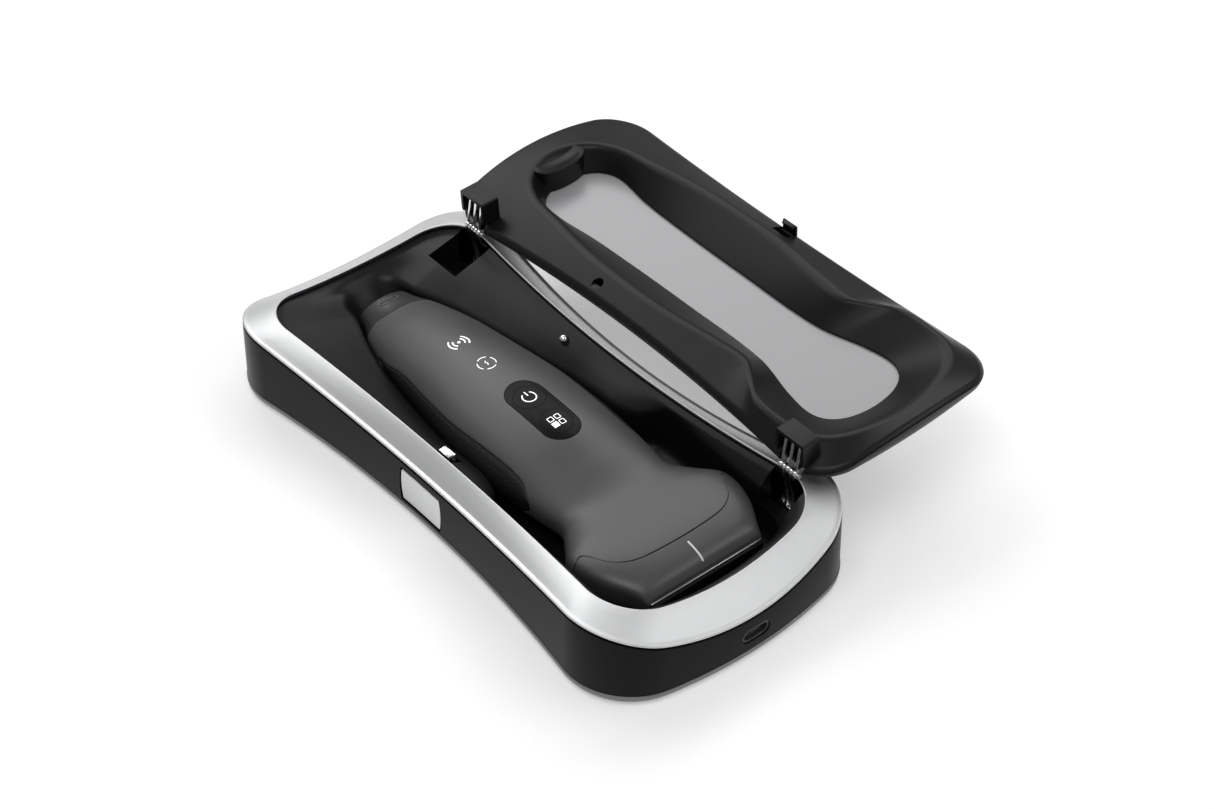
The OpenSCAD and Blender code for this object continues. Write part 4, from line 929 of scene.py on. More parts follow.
def make_tray():
    """The moulding between the bezel's lip and the recess: its underside, its edge and then its upper face."""
    s, p = bpy.context.scene.case_sizes, bpy.context.scene.probe_sizes
    lip = lip_outline()
    floor = p.mid - p.drop - FLOOR_GAP
    rim = on_lip(lip.inset(-TRAY_LAP).ring(), -LIP_DEPTH - TRAY_SEAT)
    dip = on_lip(lip.inset(GROOVE_IN).ring(), -LIP_DEPTH - GROOVE_DEEP)
    brim = on_brim(recess_ring(0, 0))
    soft = shifted(between(dip, brim, SOFT_SHARE), SOFT_RISE * GROOVE_DEEP)
    rings = [
        raised(recess_ring(SCOOP_END, FLOOR_IN - TRAY_WALL), floor - TRAY_WALL),
        raised(recess_ring(SCOOP_MID, RECESS_DRAFT - TRAY_WALL), floor + FLOOR_RISE - TRAY_WALL),
        raised(recess_ring(SCOOP_IN, RECESS_DRAFT / 2 - TRAY_WALL), SCOOP_Z - TRAY_WALL),
        on_brim(recess_ring(0, -TRAY_WALL), -2 * TRAY_WALL),
        shifted(dip, -TRAY_WALL), shifted(rim, -TRAY_WALL), rim, dip, soft, brim,
        raised(recess_ring(SCOOP_IN, RECESS_DRAFT / 2), SCOOP_Z),
        raised(recess_ring(SCOOP_MID, RECESS_DRAFT), floor + FLOOR_RISE),
        raised(recess_ring(SCOOP_END, FLOOR_IN), floor)]
    rounds = [0, 1 * MM, 0, 0, 0, 0, 0.3 * MM, 0.9 * MM, 4 * MM, 2.4 * MM, 3 * MM, 3 * MM, 0]
    obj = build_mesh("tray_shell", *loft(rounded(rings, rounds, False, 7)))
    carve(obj, [pocket_shell()], "UNION")
    low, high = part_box("sensor_stud")
    carve(obj, hinge_tubes("pocket_tool", POCKET_WIDTH / 2, POCKET_RADIUS) + [
        slot_tool(TRAY_SLOT_OUT, floor, s.lid_crown),
        stud_tool((high.x - low.x) / 2 + FIT_GAP, low.z + STUD_SEAT, s.lid_crown)])
    return dress(obj, "base", "tray_black", ["tray"], SOFT_SHARP_ANGLE)


def make_fittings():
    """Small fittings of the case and the lid keep their CAD shape and get broken edges."""
    softened("latch_button", "latch", "button_silver", 0.35 * MM, 3)
    softened("latch_arm", "latch", "steel", 0.2 * MM)
    softened("port_frame", "base", "port_black", 0.12 * MM)
    softened("hinge_arms", "base", "hinge_steel", 0.1 * MM)
    softened("lid_leaves", "lid", "hinge_steel", 0.1 * MM)
    softened("lid_strike", "lid", "liner_black", 0.1 * MM)


# Lid

LINER_WALL, LINER_LIP = 1.5 * MM, 1.2 * MM
WINDOW_Z, WINDOW_SEAT = 30.3 * MM, 1.2 * MM
LID_RECESS_TAIL, LID_RECESS_HEAD = -82 * MM, 86 * MM
WINDOW_TAIL, WINDOW_HEAD = -77 * MM, 76 * MM
LID_END_POWER = 14
HOUSING_HALF, HOUSING_IN, HOUSING_OUT = 6 * MM, 31.4 * MM, 38.1 * MM
HOUSING_LOW, HOUSING_TOP, HOUSING_WALL, HOUSING_ROUND = 17.2 * MM, 25.5 * MM, 1.3 * MM, 0.7 * MM
STRIKE_TOP, STUD_ROOM = 25.8 * MM, 2 * MM
NOTCH_HALF, NOTCH_IN = 4.9 * MM, 33.6 * MM
PAD_X, PAD_LOW, PAD_HIGH = node_low("tail_ring").x - 0.5 * MM, 21.2 * MM, 29.9 * MM
PAD_LENGTH, PAD_WIDTH, PAD_DISH, PAD_ROUND = 12 * MM, 20 * MM, 2.2 * MM, 0.8 * MM
PAD_AROUND, PAD_RINGS, PAD_POWER, PAD_EDGE = 96, 28, 0.8, 0.14


def lid_ring(shares, x0, x1, d):
    return pinched_ring(x0, x1, d, lambda x: half_head() * keyed(shares, x / RECESS_HALF), LID_END_POWER)


def window_ring(d):
    return lid_ring(WINDOW_SHARES, WINDOW_TAIL, WINDOW_HEAD, d)


def on_liner(ring, dz=0):
    """A ring on the lid liner's face."""
    low = bpy.context.scene.case_sizes.lip_low
    return raised(ring, low * keyed(LINER_DROP_SHARES, ring[:, 0] / RECESS_HALF) + dz)


def make_lid_shell():
    """The lid's domed back with the window's hole, made closed and turned open."""
    s = bpy.context.scene.case_sizes
    lid = lip_outline().inset(LID_GAP)
    w = s.lid_wall
    hole = window_ring(-WINDOW_SEAT - FIT_GAP)
    rings = [on_lip(lid.ring()), on_dome(lid.inset(w / 4).ring(), 0.4), on_dome(lid.inset(1.4 * w).ring(), 0.8),
             on_crown(lid.inset(4 * w).ring()), on_crown(hole), on_crown(hole, -w),
             on_crown(lid.inset(5 * w).ring(), -w), on_dome(lid.inset(2.4 * w).ring(), 0.7, -w / 2),
             on_dome(lid.inset(1.25 * w).ring(), 0.4, -w / 4), on_lip(lid.inset(w).ring())]
    rounds = [0.3 * MM, 3 * MM, 2.5 * MM, 3 * MM, 0.2 * MM, 0, 0, 1 * MM, 1 * MM, 0]
    obj = build_mesh("lid_back", *loft(rounded(rings, rounds, True, 6), closed=True))
    carve(obj, hinge_boxes("notch_tool", NOTCH_HALF, (NOTCH_IN, 2 * s.half_waist), 2, s.lip_low,
                           s.lid_crown + s.wall))
    turn_to_open(obj)
    return dress(obj, "lid", "lid_black", ["lid_shell"])


def turn_to_open(obj):
    """Turns a piece of the closed lid to the open lid."""
    points = np.zeros(len(obj.data.vertices) * 3, np.float32)
    obj.data.vertices.foreach_get("co", points)
    opened = lid_opened(points.reshape(-1, 3).astype(float))
    obj.data.vertices.foreach_set("co", opened.astype(np.float32).ravel())
    obj.data.update()


def make_lid_liner():
    """The lid's inner moulding, from its edge round the recess to the window's seat."""
    s = bpy.context.scene.case_sizes
    lid = lip_outline().inset(LID_GAP)
    edge = lid_ring(LID_RECESS_SHARES, LID_RECESS_TAIL, LID_RECESS_HEAD, 0)
    outer = lid_ring(LID_RECESS_SHARES, LID_RECESS_TAIL, LID_RECESS_HEAD, -LINER_WALL)
    seat, seat_out = window_ring(WINDOW_SEAT), window_ring(-WINDOW_SEAT)
    face, turned = on_liner(edge), on_lip(lid.inset(LINER_LIP).ring(), -LINER_LIP)
    rings = [on_lip(lid.ring(), -FIT_GAP), on_lip(lid.inset(LINER_WALL).ring(), -FIT_GAP),
             on_lip(lid.inset(2 * LINER_WALL).ring(), -2 * FIT_GAP), on_liner(outer, LINER_WALL),
             raised(seat_out, WINDOW_Z - LINER_WALL), raised(seat_out, WINDOW_Z - FIT_GAP),
             raised(seat, WINDOW_Z - FIT_GAP), raised(seat, WINDOW_Z - LINER_WALL / 2), face, turned]
    rounds = [0.5 * MM, 0, 0, 0, 0, 0, 0.2 * MM, 0.5 * MM, 2.6 * MM, 1.2 * MM]
    obj = build_mesh("lid_lining", *loft(rounded(rings, rounds, True, 8), closed=True))
    carve(obj, hinge_boxes("housing_tool", HOUSING_HALF, (HOUSING_LOW, HOUSING_TOP), 1, HOUSING_IN, HOUSING_OUT,
                           HOUSING_ROUND), "UNION")
    carve(obj, hinge_boxes("notch_tool", NOTCH_HALF, (HOUSING_IN + HOUSING_WALL, 2 * s.half_waist), 2,
                           HOUSING_LOW + HOUSING_WALL, s.lid_crown) + [
        slot_tool(-s.half_waist, HOUSING_LOW, STRIKE_TOP),
        stud_tool(STUD_ROOM, HOUSING_LOW, node_high("sensor_stud").z + 2 * FIT_GAP)])
    turn_to_open(obj)
    return dress(obj, "lid", "liner_black", ["lid_liner"], SOFT_SHARP_ANGLE)


def make_lid_window():
    rings = [raised(window_ring(-WINDOW_SEAT), WINDOW_Z), on_crown(window_ring(-WINDOW_SEAT))]
    obj = build_mesh("lid_pane", *loft(rings, caps="ladder"))
    turn_to_open(obj)
    return dress(obj, "lid", "window_smoke", ["lid_window"])


def make_lid_pad():
    """The cradle over the probe's tail: a rounded block with a dished face."""
    turn = np.arange(PAD_AROUND) * 2 * math.pi / PAD_AROUND
    shape = np.stack([signed_power(np.cos(turn), PAD_POWER) * PAD_LENGTH / 2,
                      signed_power(np.sin(turn), PAD_POWER) * PAD_WIDTH / 2], 1)
    rings = [raised(shape + [PAD_X, 0], PAD_HIGH)]
    for k in range(PAD_RINGS + 1):
        share = math.cos(QUARTER * (k / PAD_RINGS)) ** 0.6
        dish = PAD_DISH * (1 - share ** 2)
        edge = PAD_ROUND * smooth_step((share - (1 - PAD_EDGE)) / PAD_EDGE)
        rings.append(raised(shape * share + [PAD_X, 0], PAD_LOW + dish + edge))
    obj = build_mesh("lid_cradle", *loft(rings))
    turn_to_open(obj)
    return dress(obj, "lid", "liner_black", ["lid_pad"])


# Probe

COLLAR_LENGTH, RING_LENGTH, RING_DEEP = 11.2 * MM, 1 * MM, 0.9 * MM
GRIP_TAIL, GRIP_HEAD = 0.13, 0.665
GRIP_DEEP, GRIP_GAP = 1.1 * MM, 0.45 * MM
CHANNEL_DEEP, CHANNEL_EDGE, PARTING_LINE = GRIP_DEEP + 0.15 * MM, 0.12 * MM, 0.1 * MM
# The housing's rings run straight across up to a share of its length, and then bend into the seam
HOUSING_RINGS, HOUSING_STEPS, STRAIGHT_END, WARP_FROM = 200, 73, 0.8, 0.85
HEAD_RINGS, NOSE_FROM, NOSE_ROUND, SEAM_ROUND = 70, 0.975, 0.5 * MM, 0.25 * MM
COLLAR_RINGS, COLLAR_ROUND, COLLAR_EDGE, COLLAR_ROUND_RINGS = 60, 0.35 * MM, 0.15 * MM, 3
GRIP_RINGS, GRIP_UPPER, GRIP_UNDER, GRIP_END = 120, 40, 12, 0.012
SEAM_GAP = 0.14 * MM
LENS_ROUND, LENS_ROUND_IN, LENS_CORNER = 0.45 * MM, 0.12 * MM, 0.5 * MM
DENT_X, DENT_HALF_X, DENT_HALF_Y, DENT_DEEP = -74.3 * MM, 1.1 * MM, 3.6 * MM, 0.55 * MM
BELLY_SHARE, NECK_SHARE = 0.77, 0.7
FRONT_ROUND = 0.68


def probe_length():
    p = bpy.context.scene.probe_sizes
    return p.nose - p.tail


def probe_half_width(s):
    p = bpy.context.scene.probe_sizes
    swell = (p.belly_width / (p.head_width * BELLY_SHARE) - 1) * np.sin(math.pi * np.minimum(1, s / NECK_SHARE))
    return half_head() * keyed(WIDTH_SHARES, s) * (1 + swell)


def probe_up(s):
    return bpy.context.scene.probe_sizes.rise * keyed(RISE_SHARES, s)


def probe_down(s):
    return bpy.context.scene.probe_sizes.drop * keyed(DROP_SHARES, s)


def probe_skin(s, a, d=0.0):
    """Points of the probe's skin at shares s along it and angles a round it, drawn in by d."""
    p = bpy.context.scene.probe_sizes
    s, a = np.broadcast_arrays(np.asarray(s, float), np.asarray(a, float))
    over_back = np.sin(a) >= 0
    power = np.where(over_back, keyed(BACK_ROUND_SHARES, s), FRONT_ROUND)
    w = probe_half_width(s) - d
    h = np.where(over_back, probe_up(s), probe_down(s)) - d
    return np.stack([p.tail + probe_length() * s, w * signed_power(np.cos(a), power),
                     p.mid + h * signed_power(np.sin(a), power)], -1)


def seam_share(a):
    """How far along the probe the head cover's seam lies, at an angle round it."""
    off_top = np.abs(((np.asarray(a, float) - QUARTER + math.pi) % (2 * math.pi)) - math.pi) / QUARTER
    return keyed(SEAM_SHARES, np.minimum(1, off_top))


def grip_place(s):
    """Share of a grip's length at a share of the probe's."""
    return (s - GRIP_TAIL) / (GRIP_HEAD - GRIP_TAIL)


def grip_edge(shares, s):
    """Angle from the flank to a grip's edge."""
    t = grip_place(s)
    return np.where((t > 0) & (t < 1), keyed(shares, t) * QUARTER, 0.02)


def housing_half(name, back):
    """The back or the front of the housing, with the grips' channels and the seam's warp."""
    tail = COLLAR_LENGTH / probe_length()
    shares = GRIP_UP_SHARES if back else GRIP_DOWN_SHARES
    start = 0 if back else math.pi
    rings = []
    for t in np.linspace(0, 1, HOUSING_RINGS):
        s_mid = tail + (STRAIGHT_END - tail) * min(1, t / WARP_FROM)
        g = float(grip_edge(shares, np.array(s_mid)))
        place = float(grip_place(s_mid))
        deep = CHANNEL_DEEP * float(smooth_step(place / 0.02) * smooth_step((1 - place) / 0.02))
        across = np.linspace(g, math.pi - g, HOUSING_STEPS)
        a = start + np.concatenate([[0, g * 0.5, g], across, [math.pi - g, math.pi - g * 0.5, math.pi]])
        d = np.concatenate([[deep] * 3, np.zeros(HOUSING_STEPS), [deep] * 3])
        d[3] = d[-4] = CHANNEL_EDGE if deep > 0 else 0.0
        if deep == 0:
            d[0] = d[-1] = PARTING_LINE
        warp = max(0.0, t - WARP_FROM) / 0.15
        s = s_mid + warp * (seam_share(a) - SEAM_GAP / probe_length() - s_mid)
        rings.append(probe_skin(s, a, d))
    return build_mesh(name, *loft(rings))


def make_housing():
    """The back with the key panel's bed, and the front."""
    back = housing_half("housing_back", True)
    low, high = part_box("key_panel")
    bed = box_outline(low.x - RUN_GAP, high.x + RUN_GAP, low.y - RUN_GAP, high.y + RUN_GAP,
                      (high.y - low.y) / 2, 16)
    carve(back, [prism("panel_tool", bed, 2, low.z, high.z + 2 * MM)])
    dress(back, "probe", "probe_grey", ["probe_back"], SOFT_SHARP_ANGLE)
    dress(housing_half("housing_front", False), "probe", "probe_grey", ["probe_front"], SOFT_SHARP_ANGLE)


def make_head():
    """The head's cover, from the seam to the rounded nose."""
    rings = []
    a = np.linspace(0, 2 * math.pi, AROUND, endpoint=False)
    seam = seam_share(a) + SEAM_GAP / probe_length()
    for k, t in enumerate(np.linspace(0, 1, HEAD_RINGS)):
        s = seam + (1 - seam) * t
        d = SEAM_ROUND if k == 0 else 0.0
        d += NOSE_ROUND * (1 - math.sqrt(max(0.0, 1 - max(0.0, (t - NOSE_FROM) / 0.025) ** 2)))
        rings.append(probe_skin(s, a, d))
    obj = build_mesh("head_cover", *loft(rings))
    # The head's darker grey is painted shade.
    return dress(obj, "probe", "probe_grey", ["head_shell"], finish="head_grey")


def make_lens():
    """The lens across the nose, and the bright line along its upper edge."""
    low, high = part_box("lens")
    rings = []
    for x, d in ((low.x, 0), (high.x - LENS_ROUND, 0), (high.x - LENS_ROUND_IN, LENS_ROUND_IN),
                 (high.x, LENS_ROUND)):
        outline = np.array(box_outline(low.y + d, high.y - d, low.z + d, high.z - d, LENS_CORNER))
        rings.append(np.insert(outline, 0, x, axis=1))
    obj = build_mesh("lens_face", *loft(rings))
    dress(obj, "probe", "lens_black", ["lens"])
    softened("lens_bead", "probe", "bead_silver", 0.12 * MM)


def make_collar():
    """The tail's collar with its dent, and the disc that ends it."""
    tail, end = RING_LENGTH / probe_length(), (COLLAR_LENGTH - 0.12 * MM) / probe_length()
    a = np.linspace(0, 2 * math.pi, AROUND, endpoint=False)
    rings = []
    for k, s in enumerate(np.linspace(tail, end, COLLAR_RINGS)):
        t = min(1.0, k / COLLAR_ROUND_RINGS)
        d = COLLAR_ROUND * (1 - math.sqrt(t * (2 - t))) if k < COLLAR_RINGS - 1 else COLLAR_EDGE
        ring = probe_skin(np.full_like(a, s), a, d)
        inside = ((ring[:, 0] - DENT_X) / DENT_HALF_X) ** 2 + (ring[:, 1] / DENT_HALF_Y) ** 4
        dent = DENT_DEEP * smooth_step((1.25 - inside) / 0.9) * (np.sin(a) > 0.3)
        rings.append(ring - np.outer(dent, [0, 0, 1]))
    obj = build_mesh("collar_shell", *loft(rings))
    dress(obj, "probe", "collar_grey", ["tail_collar"])
    rings = [probe_skin(np.full_like(a, s), a, RING_DEEP) for s in (0, tail - RUN_GAP / probe_length())]
    ring = build_mesh("tail_disc", *loft(rings))
    return dress(ring, "probe", "collar_grey", ["tail_ring"])


def grip_form(name, side, node):
    """A grip: a leaf-shaped pad flush with the housing, with rounded edges."""
    rings = []
    for t in np.linspace(0.0, 1.0, GRIP_RINGS):
        s = GRIP_TAIL + (GRIP_HEAD - GRIP_TAIL) * (GRIP_END + 0.976 * t)
        width = float(probe_half_width(np.array(s)))
        gap = GRIP_GAP / width
        up = float(grip_edge(GRIP_UP_SHARES, np.array(s))) - gap
        down = -float(grip_edge(GRIP_DOWN_SHARES, np.array(s))) + gap
        if up < down + 0.02:
            up = down = (up + down) / 2
            up, down = up + 0.01, down - 0.01
        edge = min(0.3 * MM, GRIP_DEEP / 3)
        end = float(smooth_step(t / 0.03) * smooth_step((1 - t) / 0.03))
        a = np.concatenate([np.linspace(down, up, GRIP_UPPER), np.linspace(up, down, GRIP_UNDER)])
        rim = np.minimum(np.arange(GRIP_UPPER), np.arange(GRIP_UPPER)[::-1])
        d = np.concatenate([edge * (1 - smooth_step(rim / 3.0)) + (1 - end) * 0.4 * MM,
                            np.full(GRIP_UNDER, GRIP_DEEP)])
        ring = probe_skin(np.full_like(a, s), a, d)
        ring[:, 1] *= side
        rings.append(ring)
    obj = build_mesh(name, *loft(rings))
    return dress(obj, "probe", "grip_rubber", [node])


def make_grips():
    grip_form("grip_pad_left", -1, "grip_left")
    grip_form("grip_pad_right", 1, "grip_right")


# Keys and signs

PANEL_LIFT, SIGN_LIFT, PANEL_EDGE = 0.02 * MM, 0.05 * MM, 0.1 * MM
KEY_GAP = 0.05 * MM
POWER_RING, POWER_OPEN = 2.25 * MM, 36
MODE_PITCH, MODE_HALF = 1.3 * MM, 0.87 * MM
SIGNAL_PLACE, CHARGE_PLACE = 43 * MM, 57.5 * MM


def back_height(x, y):
    """Height of the probe's back over a place in plan."""
    p = bpy.context.scene.probe_sizes
    s = (np.asarray(x, float) - p.tail) / probe_length()
    power = keyed(BACK_ROUND_SHARES, s)
    across = np.clip(np.abs(y) / probe_half_width(s), 0, 1) ** (1 / power)
    return p.mid + probe_up(s) * (1 - across ** 2) ** (power / 2)


def draped_plate(name, outline, bottom):
    """A plate with a flat underside whose top follows the probe's back."""
    flat = np.asarray(outline, float)
    middle = flat.mean(0)
    rings = [raised(flat, bottom), raised(flat, back_height(flat[:, 0], flat[:, 1]) + PANEL_LIFT - PANEL_EDGE)]
    for share in np.concatenate([[0.985], np.linspace(0.97, 0.03, 14)]):
        ring = middle + (flat - middle) * share
        rings.append(raised(ring, back_height(ring[:, 0], ring[:, 1]) + PANEL_LIFT))
    return build_mesh(name, *loft(rings))


def stroke(points, width, closed=False):
    """Left and right edges of a line of a width along points in plan."""
    p = np.asarray(points, float)
    if closed:
        along = np.roll(p, -1, 0) - np.roll(p, 1, 0)
    else:
        along = np.gradient(p, axis=0)
    side = unit(np.stack([-along[:, 1], along[:, 0]], 1)) * width / 2
    return p + side, p - side


def sign_ribbon(points, width, closed=False):
    """Points and faces of a thin raised line that follows the probe's back."""
    left, right = stroke(points, width, closed)
    n = len(left)
    top = [raised(e, back_height(e[:, 0], e[:, 1]) + SIGN_LIFT) for e in (left, right)]
    low = [raised(e, back_height(e[:, 0], e[:, 1]) - SIGN_LIFT) for e in (right, left)]
    sections = np.stack([top[0], top[1], low[0], low[1]], 1)
    verts = sections.reshape(-1, 3)
    faces = []
    for j in range(n if closed else n - 1):
        a, b = j * 4, (j + 1) % n * 4
        faces += [[a + i, a + (i + 1) % 4, b + (i + 1) % 4, b + i] for i in range(4)]
    if not closed:
        faces += [[3, 2, 1, 0], [(n - 1) * 4 + i for i in range(4)]]
    return verts, faces


def arc(cx, cy, radius, start, end, steps=24):
    a = np.radians(np.linspace(start, end, steps))
    return np.stack([cx + radius * np.cos(a), cy + radius * np.sin(a)], 1)


def level_line(start, end, y, count):
    """Points along the probe, at one place across it."""
    return np.stack([np.linspace(start, end, count), np.full(count, float(y))], 1)


def sign_piece(name, lines, width, body, slot, nodes=()):
    """One piece of several raised lines on the back. A line is its points and whether it closes."""
    verts, faces, base = [], [], 0
    for points, closed in lines:
        v, f = sign_ribbon(points, width, closed)
        if signed_volume(v, f) < 0:
            f = [q[::-1] for q in f]
        verts.append(v)
        faces += [[base + i for i in q] for q in f]
        base += len(v)
    obj = build_mesh(name, np.vstack(verts), faces, flip=False)
    return dress(obj, body, slot, nodes)


def node_middle(node):
    """Middle of a node along the case, and half its length."""
    low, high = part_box(node)
    return (low.x + high.x) / 2, (high.x - low.x) / 2


def make_keys():
    """The key panel and its two keys, flush with the back, and their signs."""
    low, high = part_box("key_panel")
    radius = (high.y - low.y) / 2 - RUN_GAP
    panel = draped_plate("panel_film", box_outline(low.x, high.x, low.y, high.y, radius, 20), low.z)
    keys = {"power_key": ("power_button", "power_disc"), "mode_key": ("mode_button", "mode_disc")}
    tools = []
    for node, (body, name) in keys.items():
        x, half = node_middle(node)
        tools.append(prism("key_tool", circle_outline(x, 0, half + KEY_GAP, 96), 2, low.z - MM, high.z + MM))
        disc = draped_plate(name, circle_outline(x, 0, half, 96), node_low(node).z)
        dress(disc, body, "panel_black", [node])
    carve(panel, tools)
    dress(panel, "probe", "panel_black", ["key_panel"])

    x, _ = node_middle("power_key")
    lines = [(arc(x, 0, POWER_RING, 180 + POWER_OPEN, 540 - POWER_OPEN, 48), False),
             (level_line(x - 0.6 * MM, x - 2.7 * MM, 0, 6), False)]
    sign_piece("power_sign", lines, 0.4 * MM, "power_button", "light_white")

    x, _ = node_middle("mode_key")
    pitch, half = MODE_PITCH, MODE_HALF
    lines = []
    for sx, sy in ((-1, -1), (-1, 1), (1, 1)):
        u, v = x + sx * pitch, sy * pitch
        lines.append((np.array(box_outline(u - half, u + half, v - half, v + half, 0.25 * MM, 3)), True))
    sign_piece("mode_squares", lines, 0.26 * MM, "mode_button", "light_white")
    reach = half + 0.18 * MM
    middle = level_line(x + pitch - reach, x + pitch + reach, -pitch, 8)
    sign_piece("mode_square_lit", [(middle, False)], 2 * reach, "mode_button", "light_white")


def make_mode_dots():
    """A ring of small dark studs round the mode key's sign."""
    x, _ = node_middle("mode_key")
    tree = repeat_tree(
        "dots_on_a_ring",
        ("GeometryNodeMeshCylinder", {"fill_type": "NGON"},
         {"Vertices": 10, "Radius": ("Dot radius", 0.28 * MM), "Depth": ("Dot height", 0.12 * MM)}),
        ("GeometryNodeMeshCircle", {}, {"Vertices": ("Count", 9), "Radius": ("Ring radius", 4.5 * MM)}),
        MATERIALS["lens_black"])
    dots = repeated("mode_dots", tree, centre=(x, 0.0, 0.0))
    for vertex in dots.data.vertices:
        vertex.co.z += float(back_height(vertex.co.x, vertex.co.y))
    dress(dots, "mode_button", "lens_black")


def make_signals():
    """The signal arcs and the charge ring, lit through the back."""
    tail = bpy.context.scene.probe_sizes.tail
    signal, charge = tail + SIGNAL_PLACE, tail + CHARGE_PLACE
    lines = []
    for facing in (90, 270):
        for radius in (2 * MM, 3.4 * MM):
            lines.append((arc(signal, 0, radius, facing - 46, facing + 46), False))
    lines.append((arc(signal, 0, 0.3 * MM, 0, 345, 24), True))
    sign_piece("signal_arcs", lines, 0.5 * MM, "probe", "light_white", ["signal_lights"])
    lines = [(arc(charge, 0, 3.05 * MM, start + 12, start + 78, 18), False) for start in (45, 135, 225, 315)]
    bolt = [(-1.1, 0.2), (-0.1, -0.3), (0.1, 0.3), (1.1, -0.2)]
    lines.append((np.array([[charge + u * MM, v * MM] for u, v in bolt]), False))
    sign_piece("charge_ring", lines, 0.3 * MM, "probe", "light_white")


def make_centre_mark():
    low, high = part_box("centre_mark")
    # The tick's faint glow is painted light.
    sign_piece("centre_tick", [(level_line(low.x, high.x, 0, 24), False)], high.y - low.y, "probe",
               "mark_white", ["centre_mark"])


def finish_plain_nodes():
    """CAD nodes whose shape is right get their finish."""
    slots = {
        "base_pad": "pad_rubber", "bottom_plate": "plate_black", "bottom_screws": "steel",
        "latch_spring": "spring_steel", "latch_guide": "plate_black", "port_socket": "steel",
        "charger_board": "board_green", "charge_coil": "copper", "coil_ferrite": "ferrite",
        "case_batteries": "cell_foil", "sensor_stud": "stud_chrome", "hinge_pins": "hinge_steel",
        "hinge_screws": "steel", "lid_screws": "steel", "key_switches": "switch_grey",
        "probe_board": "board_green", "probe_battery": "cell_foil", "probe_coil": "copper",
        "array_stack": "ceramic",
    }
    for node, slot in slots.items():
        painted(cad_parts[node].data, slot)


# Stage

SENSOR = 36.0
TARGET = (-4.092 * MM, 34.664 * MM, 3.6 * MM)


def view_direction(azimuth, elevation):
    """From the middle of the case towards the viewer."""
    return Vector((math.sin(azimuth) * math.cos(elevation), -math.cos(azimuth) * math.cos(elevation),
                   math.sin(elevation)))


def aim(obj, target, back, distance):
    """Puts a camera or a lamp at a distance from its target, looking at it."""
    obj.location = target + back * distance
    obj.rotation_mode = "QUATERNION"
    obj.rotation_quaternion = (-back).to_track_quat("-Z", "Y")


def make_camera():
    """The camera of the photograph."""
    s = bpy.context.scene.stage_settings
    back = view_direction(s.azimuth, s.elevation)
    data = bpy.data.cameras.new("photo_view")
    data.lens, data.sensor_width, data.sensor_fit = s.lens, SENSOR, "HORIZONTAL"
    data.clip_start, data.clip_end = 0.01, 20
    camera = linked("photo_view", data)
    aim(camera, Vector(TARGET), back, s.distance)
    bpy.context.scene.camera = camera


FLOOR_HALF, FLOOR_GLOW, WORLD_LIGHT = 6.0, 0.34, 0.4


def make_floor():
    """White paper that glows a little for the camera and for reflections, so that it keeps the shadow."""
    points = [(u * FLOOR_HALF, v * FLOOR_HALF, 0) for u, v in ((-1, -1), (1, -1), (1, 1), (-1, 1))]
    mesh = bpy.data.meshes.new("floor")
    mesh.from_pydata(points, [], [(0, 1, 2, 3)])
    floor = linked("floor", mesh)
    s = Shader("floor_paper")
    fine = s.noise(120, 2)
    plain = s.value("ShaderNodeBsdfDiffuse", "BSDF", None, {"Color": s.ramp(fine, (0.79,) * 3, (0.81,) * 3)})
    path = s.node("ShaderNodeLightPath")
    seen = Maths(s, path.outputs["Is Camera Ray"]) + Maths(s, path.outputs["Is Glossy Ray"])
    glowing = s.node("ShaderNodeEmission", None, {"Color": (1, 1, 1, 1), "Strength": seen * FLOOR_GLOW})
    both = s.value("ShaderNodeAddShader", "Shader", None, {0: plain, 1: Maths(s, glowing.outputs[0])})
    s.tree.links.new(both.socket, s.out.inputs["Surface"])
    mesh.materials.append(s.material)


def make_world():
    """A soft white studio that the camera sees as pure white."""
    world = bpy.data.worlds.new("studio")
    bpy.context.scene.world = world
    world.use_nodes = True
    tree = world.node_tree
    tree.nodes.clear()
    out = tree.nodes.new("ShaderNodeOutputWorld")
    path = tree.nodes.new("ShaderNodeLightPath")
    white, soft = tree.nodes.new("ShaderNodeBackground"), tree.nodes.new("ShaderNodeBackground")
    white.inputs["Strength"].default_value = 1.0
    soft.inputs["Strength"].default_value = WORLD_LIGHT
    seen = tree.nodes.new("ShaderNodeMath")
    seen.operation, seen.use_clamp = "ADD", True
    mix = tree.nodes.new("ShaderNodeMixShader")
    for source, target in (
            (path.outputs["Is Camera Ray"], seen.inputs[0]),
            (path.outputs["Is Transmission Ray"], seen.inputs[1]),
            (seen.outputs[0], mix.inputs[0]), (soft.outputs[0], mix.inputs[1]),
            (white.outputs[0], mix.inputs[2]), (mix.outputs[0], out.inputs["Surface"])):
        tree.links.new(source, target)


def make_lamp(name, azimuth, elevation, distance, size, size_y, energy):
    """A soft box that looks at the case."""
    data = bpy.data.lights.new(name, "AREA")
    data.shape, data.size, data.size_y, data.energy = "RECTANGLE", size, size_y, energy
    back = view_direction(math.radians(azimuth), math.radians(elevation))
    aim(linked(name, data), Vector(), back, distance)


def make_lights():
    """Four soft boxes: azimuth, elevation, distance, width, height and power."""
    for name, placing in {
        "left_box": (-85, 48, 1.2, 0.8, 0.5, 2.7),
        "back_box": (137, 41, 1.2, 0.8, 0.5, 2.4),
        "top_box": (30, 68, 1.3, 0.7, 0.6, 4.0),
        "far_box": (-135, 44, 1.2, 1.1, 0.6, 4.2),
    }.items():
        make_lamp(name, *placing)


# Operators

class BuildStep:
    """What every operator here does: it runs its actions in turn."""

    def execute(self, context):
        for action in self.actions:
            action()
        return {"FINISHED"}


class CASE_OT_mix_finishes(BuildStep, bpy.types.Operator):
    """Mixes every finish of the case and the probe"""
    bl_idname = "case.mix_finishes"
    bl_label = "Finishes"
    actions = (mix_materials,)


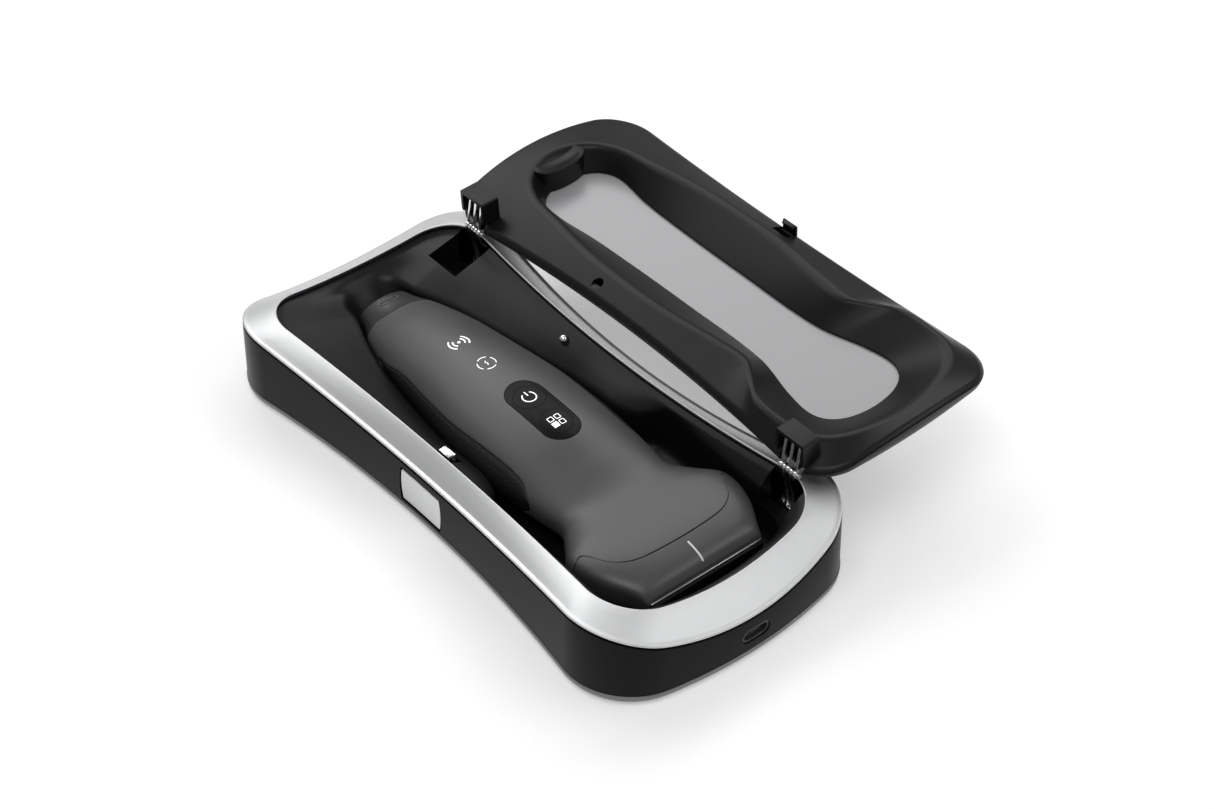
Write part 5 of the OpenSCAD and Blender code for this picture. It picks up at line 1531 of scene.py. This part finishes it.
class CASE_OT_set_stage(BuildStep, bpy.types.Operator):
    """Sets the camera, the floor, the world and the lamps"""
    bl_idname = "case.set_stage"
    bl_label = "Stage"
    actions = (make_camera, make_floor, make_world, make_lights)


class CASE_OT_build_shell(BuildStep, bpy.types.Operator):
    """Builds the side wall, the trim ring and the bezel"""
    bl_idname = "case.build_shell"
    bl_label = "Case shell"
    actions = (make_bottom_trim, make_side_wall, make_bezel)


class CASE_OT_build_tray(BuildStep, bpy.types.Operator):
    """Builds the tray that the probe lies in"""
    bl_idname = "case.build_tray"
    bl_label = "Tray"
    actions = (make_tray,)


class CASE_OT_build_fittings(BuildStep, bpy.types.Operator):
    """Breaks the edges of the latch, the hinges and the port, and finishes what keeps its CAD shape"""
    bl_idname = "case.build_fittings"
    bl_label = "Fittings"
    actions = (make_fittings, finish_plain_nodes)


class CASE_OT_build_lid(BuildStep, bpy.types.Operator):
    """Builds the lid's back, lining, window and cradle"""
    bl_idname = "case.build_lid"
    bl_label = "Lid"
    actions = (make_lid_shell, make_lid_liner, make_lid_window, make_lid_pad)


class CASE_OT_build_probe(BuildStep, bpy.types.Operator):
    """Builds the probe's housing, collar, head, lens and grips"""
    bl_idname = "case.build_probe"
    bl_label = "Probe"
    actions = (make_housing, make_head, make_lens, make_collar, make_grips)


class CASE_OT_build_keys(BuildStep, bpy.types.Operator):
    """Builds the key panel, the keys and the lit signs"""
    bl_idname = "case.build_keys"
    bl_label = "Keys and signs"
    actions = (make_keys, make_mode_dots, make_signals, make_centre_mark)


class CASE_PT_build(bpy.types.Panel):
    """Steps of the build in the sidebar"""
    bl_label = "Probe Case"
    bl_space_type = "VIEW_3D"
    bl_region_type = "UI"
    bl_category = "Probe Case"

    def draw(self, context):
        for operator in OPERATORS:
            self.layout.operator(operator.bl_idname)
        for group in ("case_sizes", "probe_sizes", "finishes", "stage_settings"):
            for key in getattr(context.scene, group).__annotations__:
                self.layout.prop(getattr(context.scene, group), key)


OPERATORS = (CASE_OT_mix_finishes, CASE_OT_set_stage, CASE_OT_build_shell, CASE_OT_build_tray,
             CASE_OT_build_fittings, CASE_OT_build_lid, CASE_OT_build_probe, CASE_OT_build_keys)
GROUPS = {"case_sizes": CaseSizes, "probe_sizes": ProbeSizes, "finishes": Finishes,
          "stage_settings": StageSettings}


def register():
    for name, group in GROUPS.items():
        bpy.utils.register_class(group)
        setattr(bpy.types.Scene, name, bpy.props.PointerProperty(type=group))
    for made in (*OPERATORS, CASE_PT_build):
        bpy.utils.register_class(made)


def unregister():
    for made in (CASE_PT_build, *reversed(OPERATORS)):
        bpy.utils.unregister_class(made)
    for name, group in GROUPS.items():
        delattr(bpy.types.Scene, name)
        bpy.utils.unregister_class(group)


def main():
    register()
    bpy.context.scene.view_settings.view_transform = "Standard"
    bpy.ops.case.mix_finishes()
    bpy.ops.case.set_stage()
    bpy.ops.case.build_shell()
    bpy.ops.case.build_tray()
    bpy.ops.case.build_fittings()
    bpy.ops.case.build_lid()
    bpy.ops.case.build_probe()
    bpy.ops.case.build_keys()


if __name__ == "__main__":
    main()
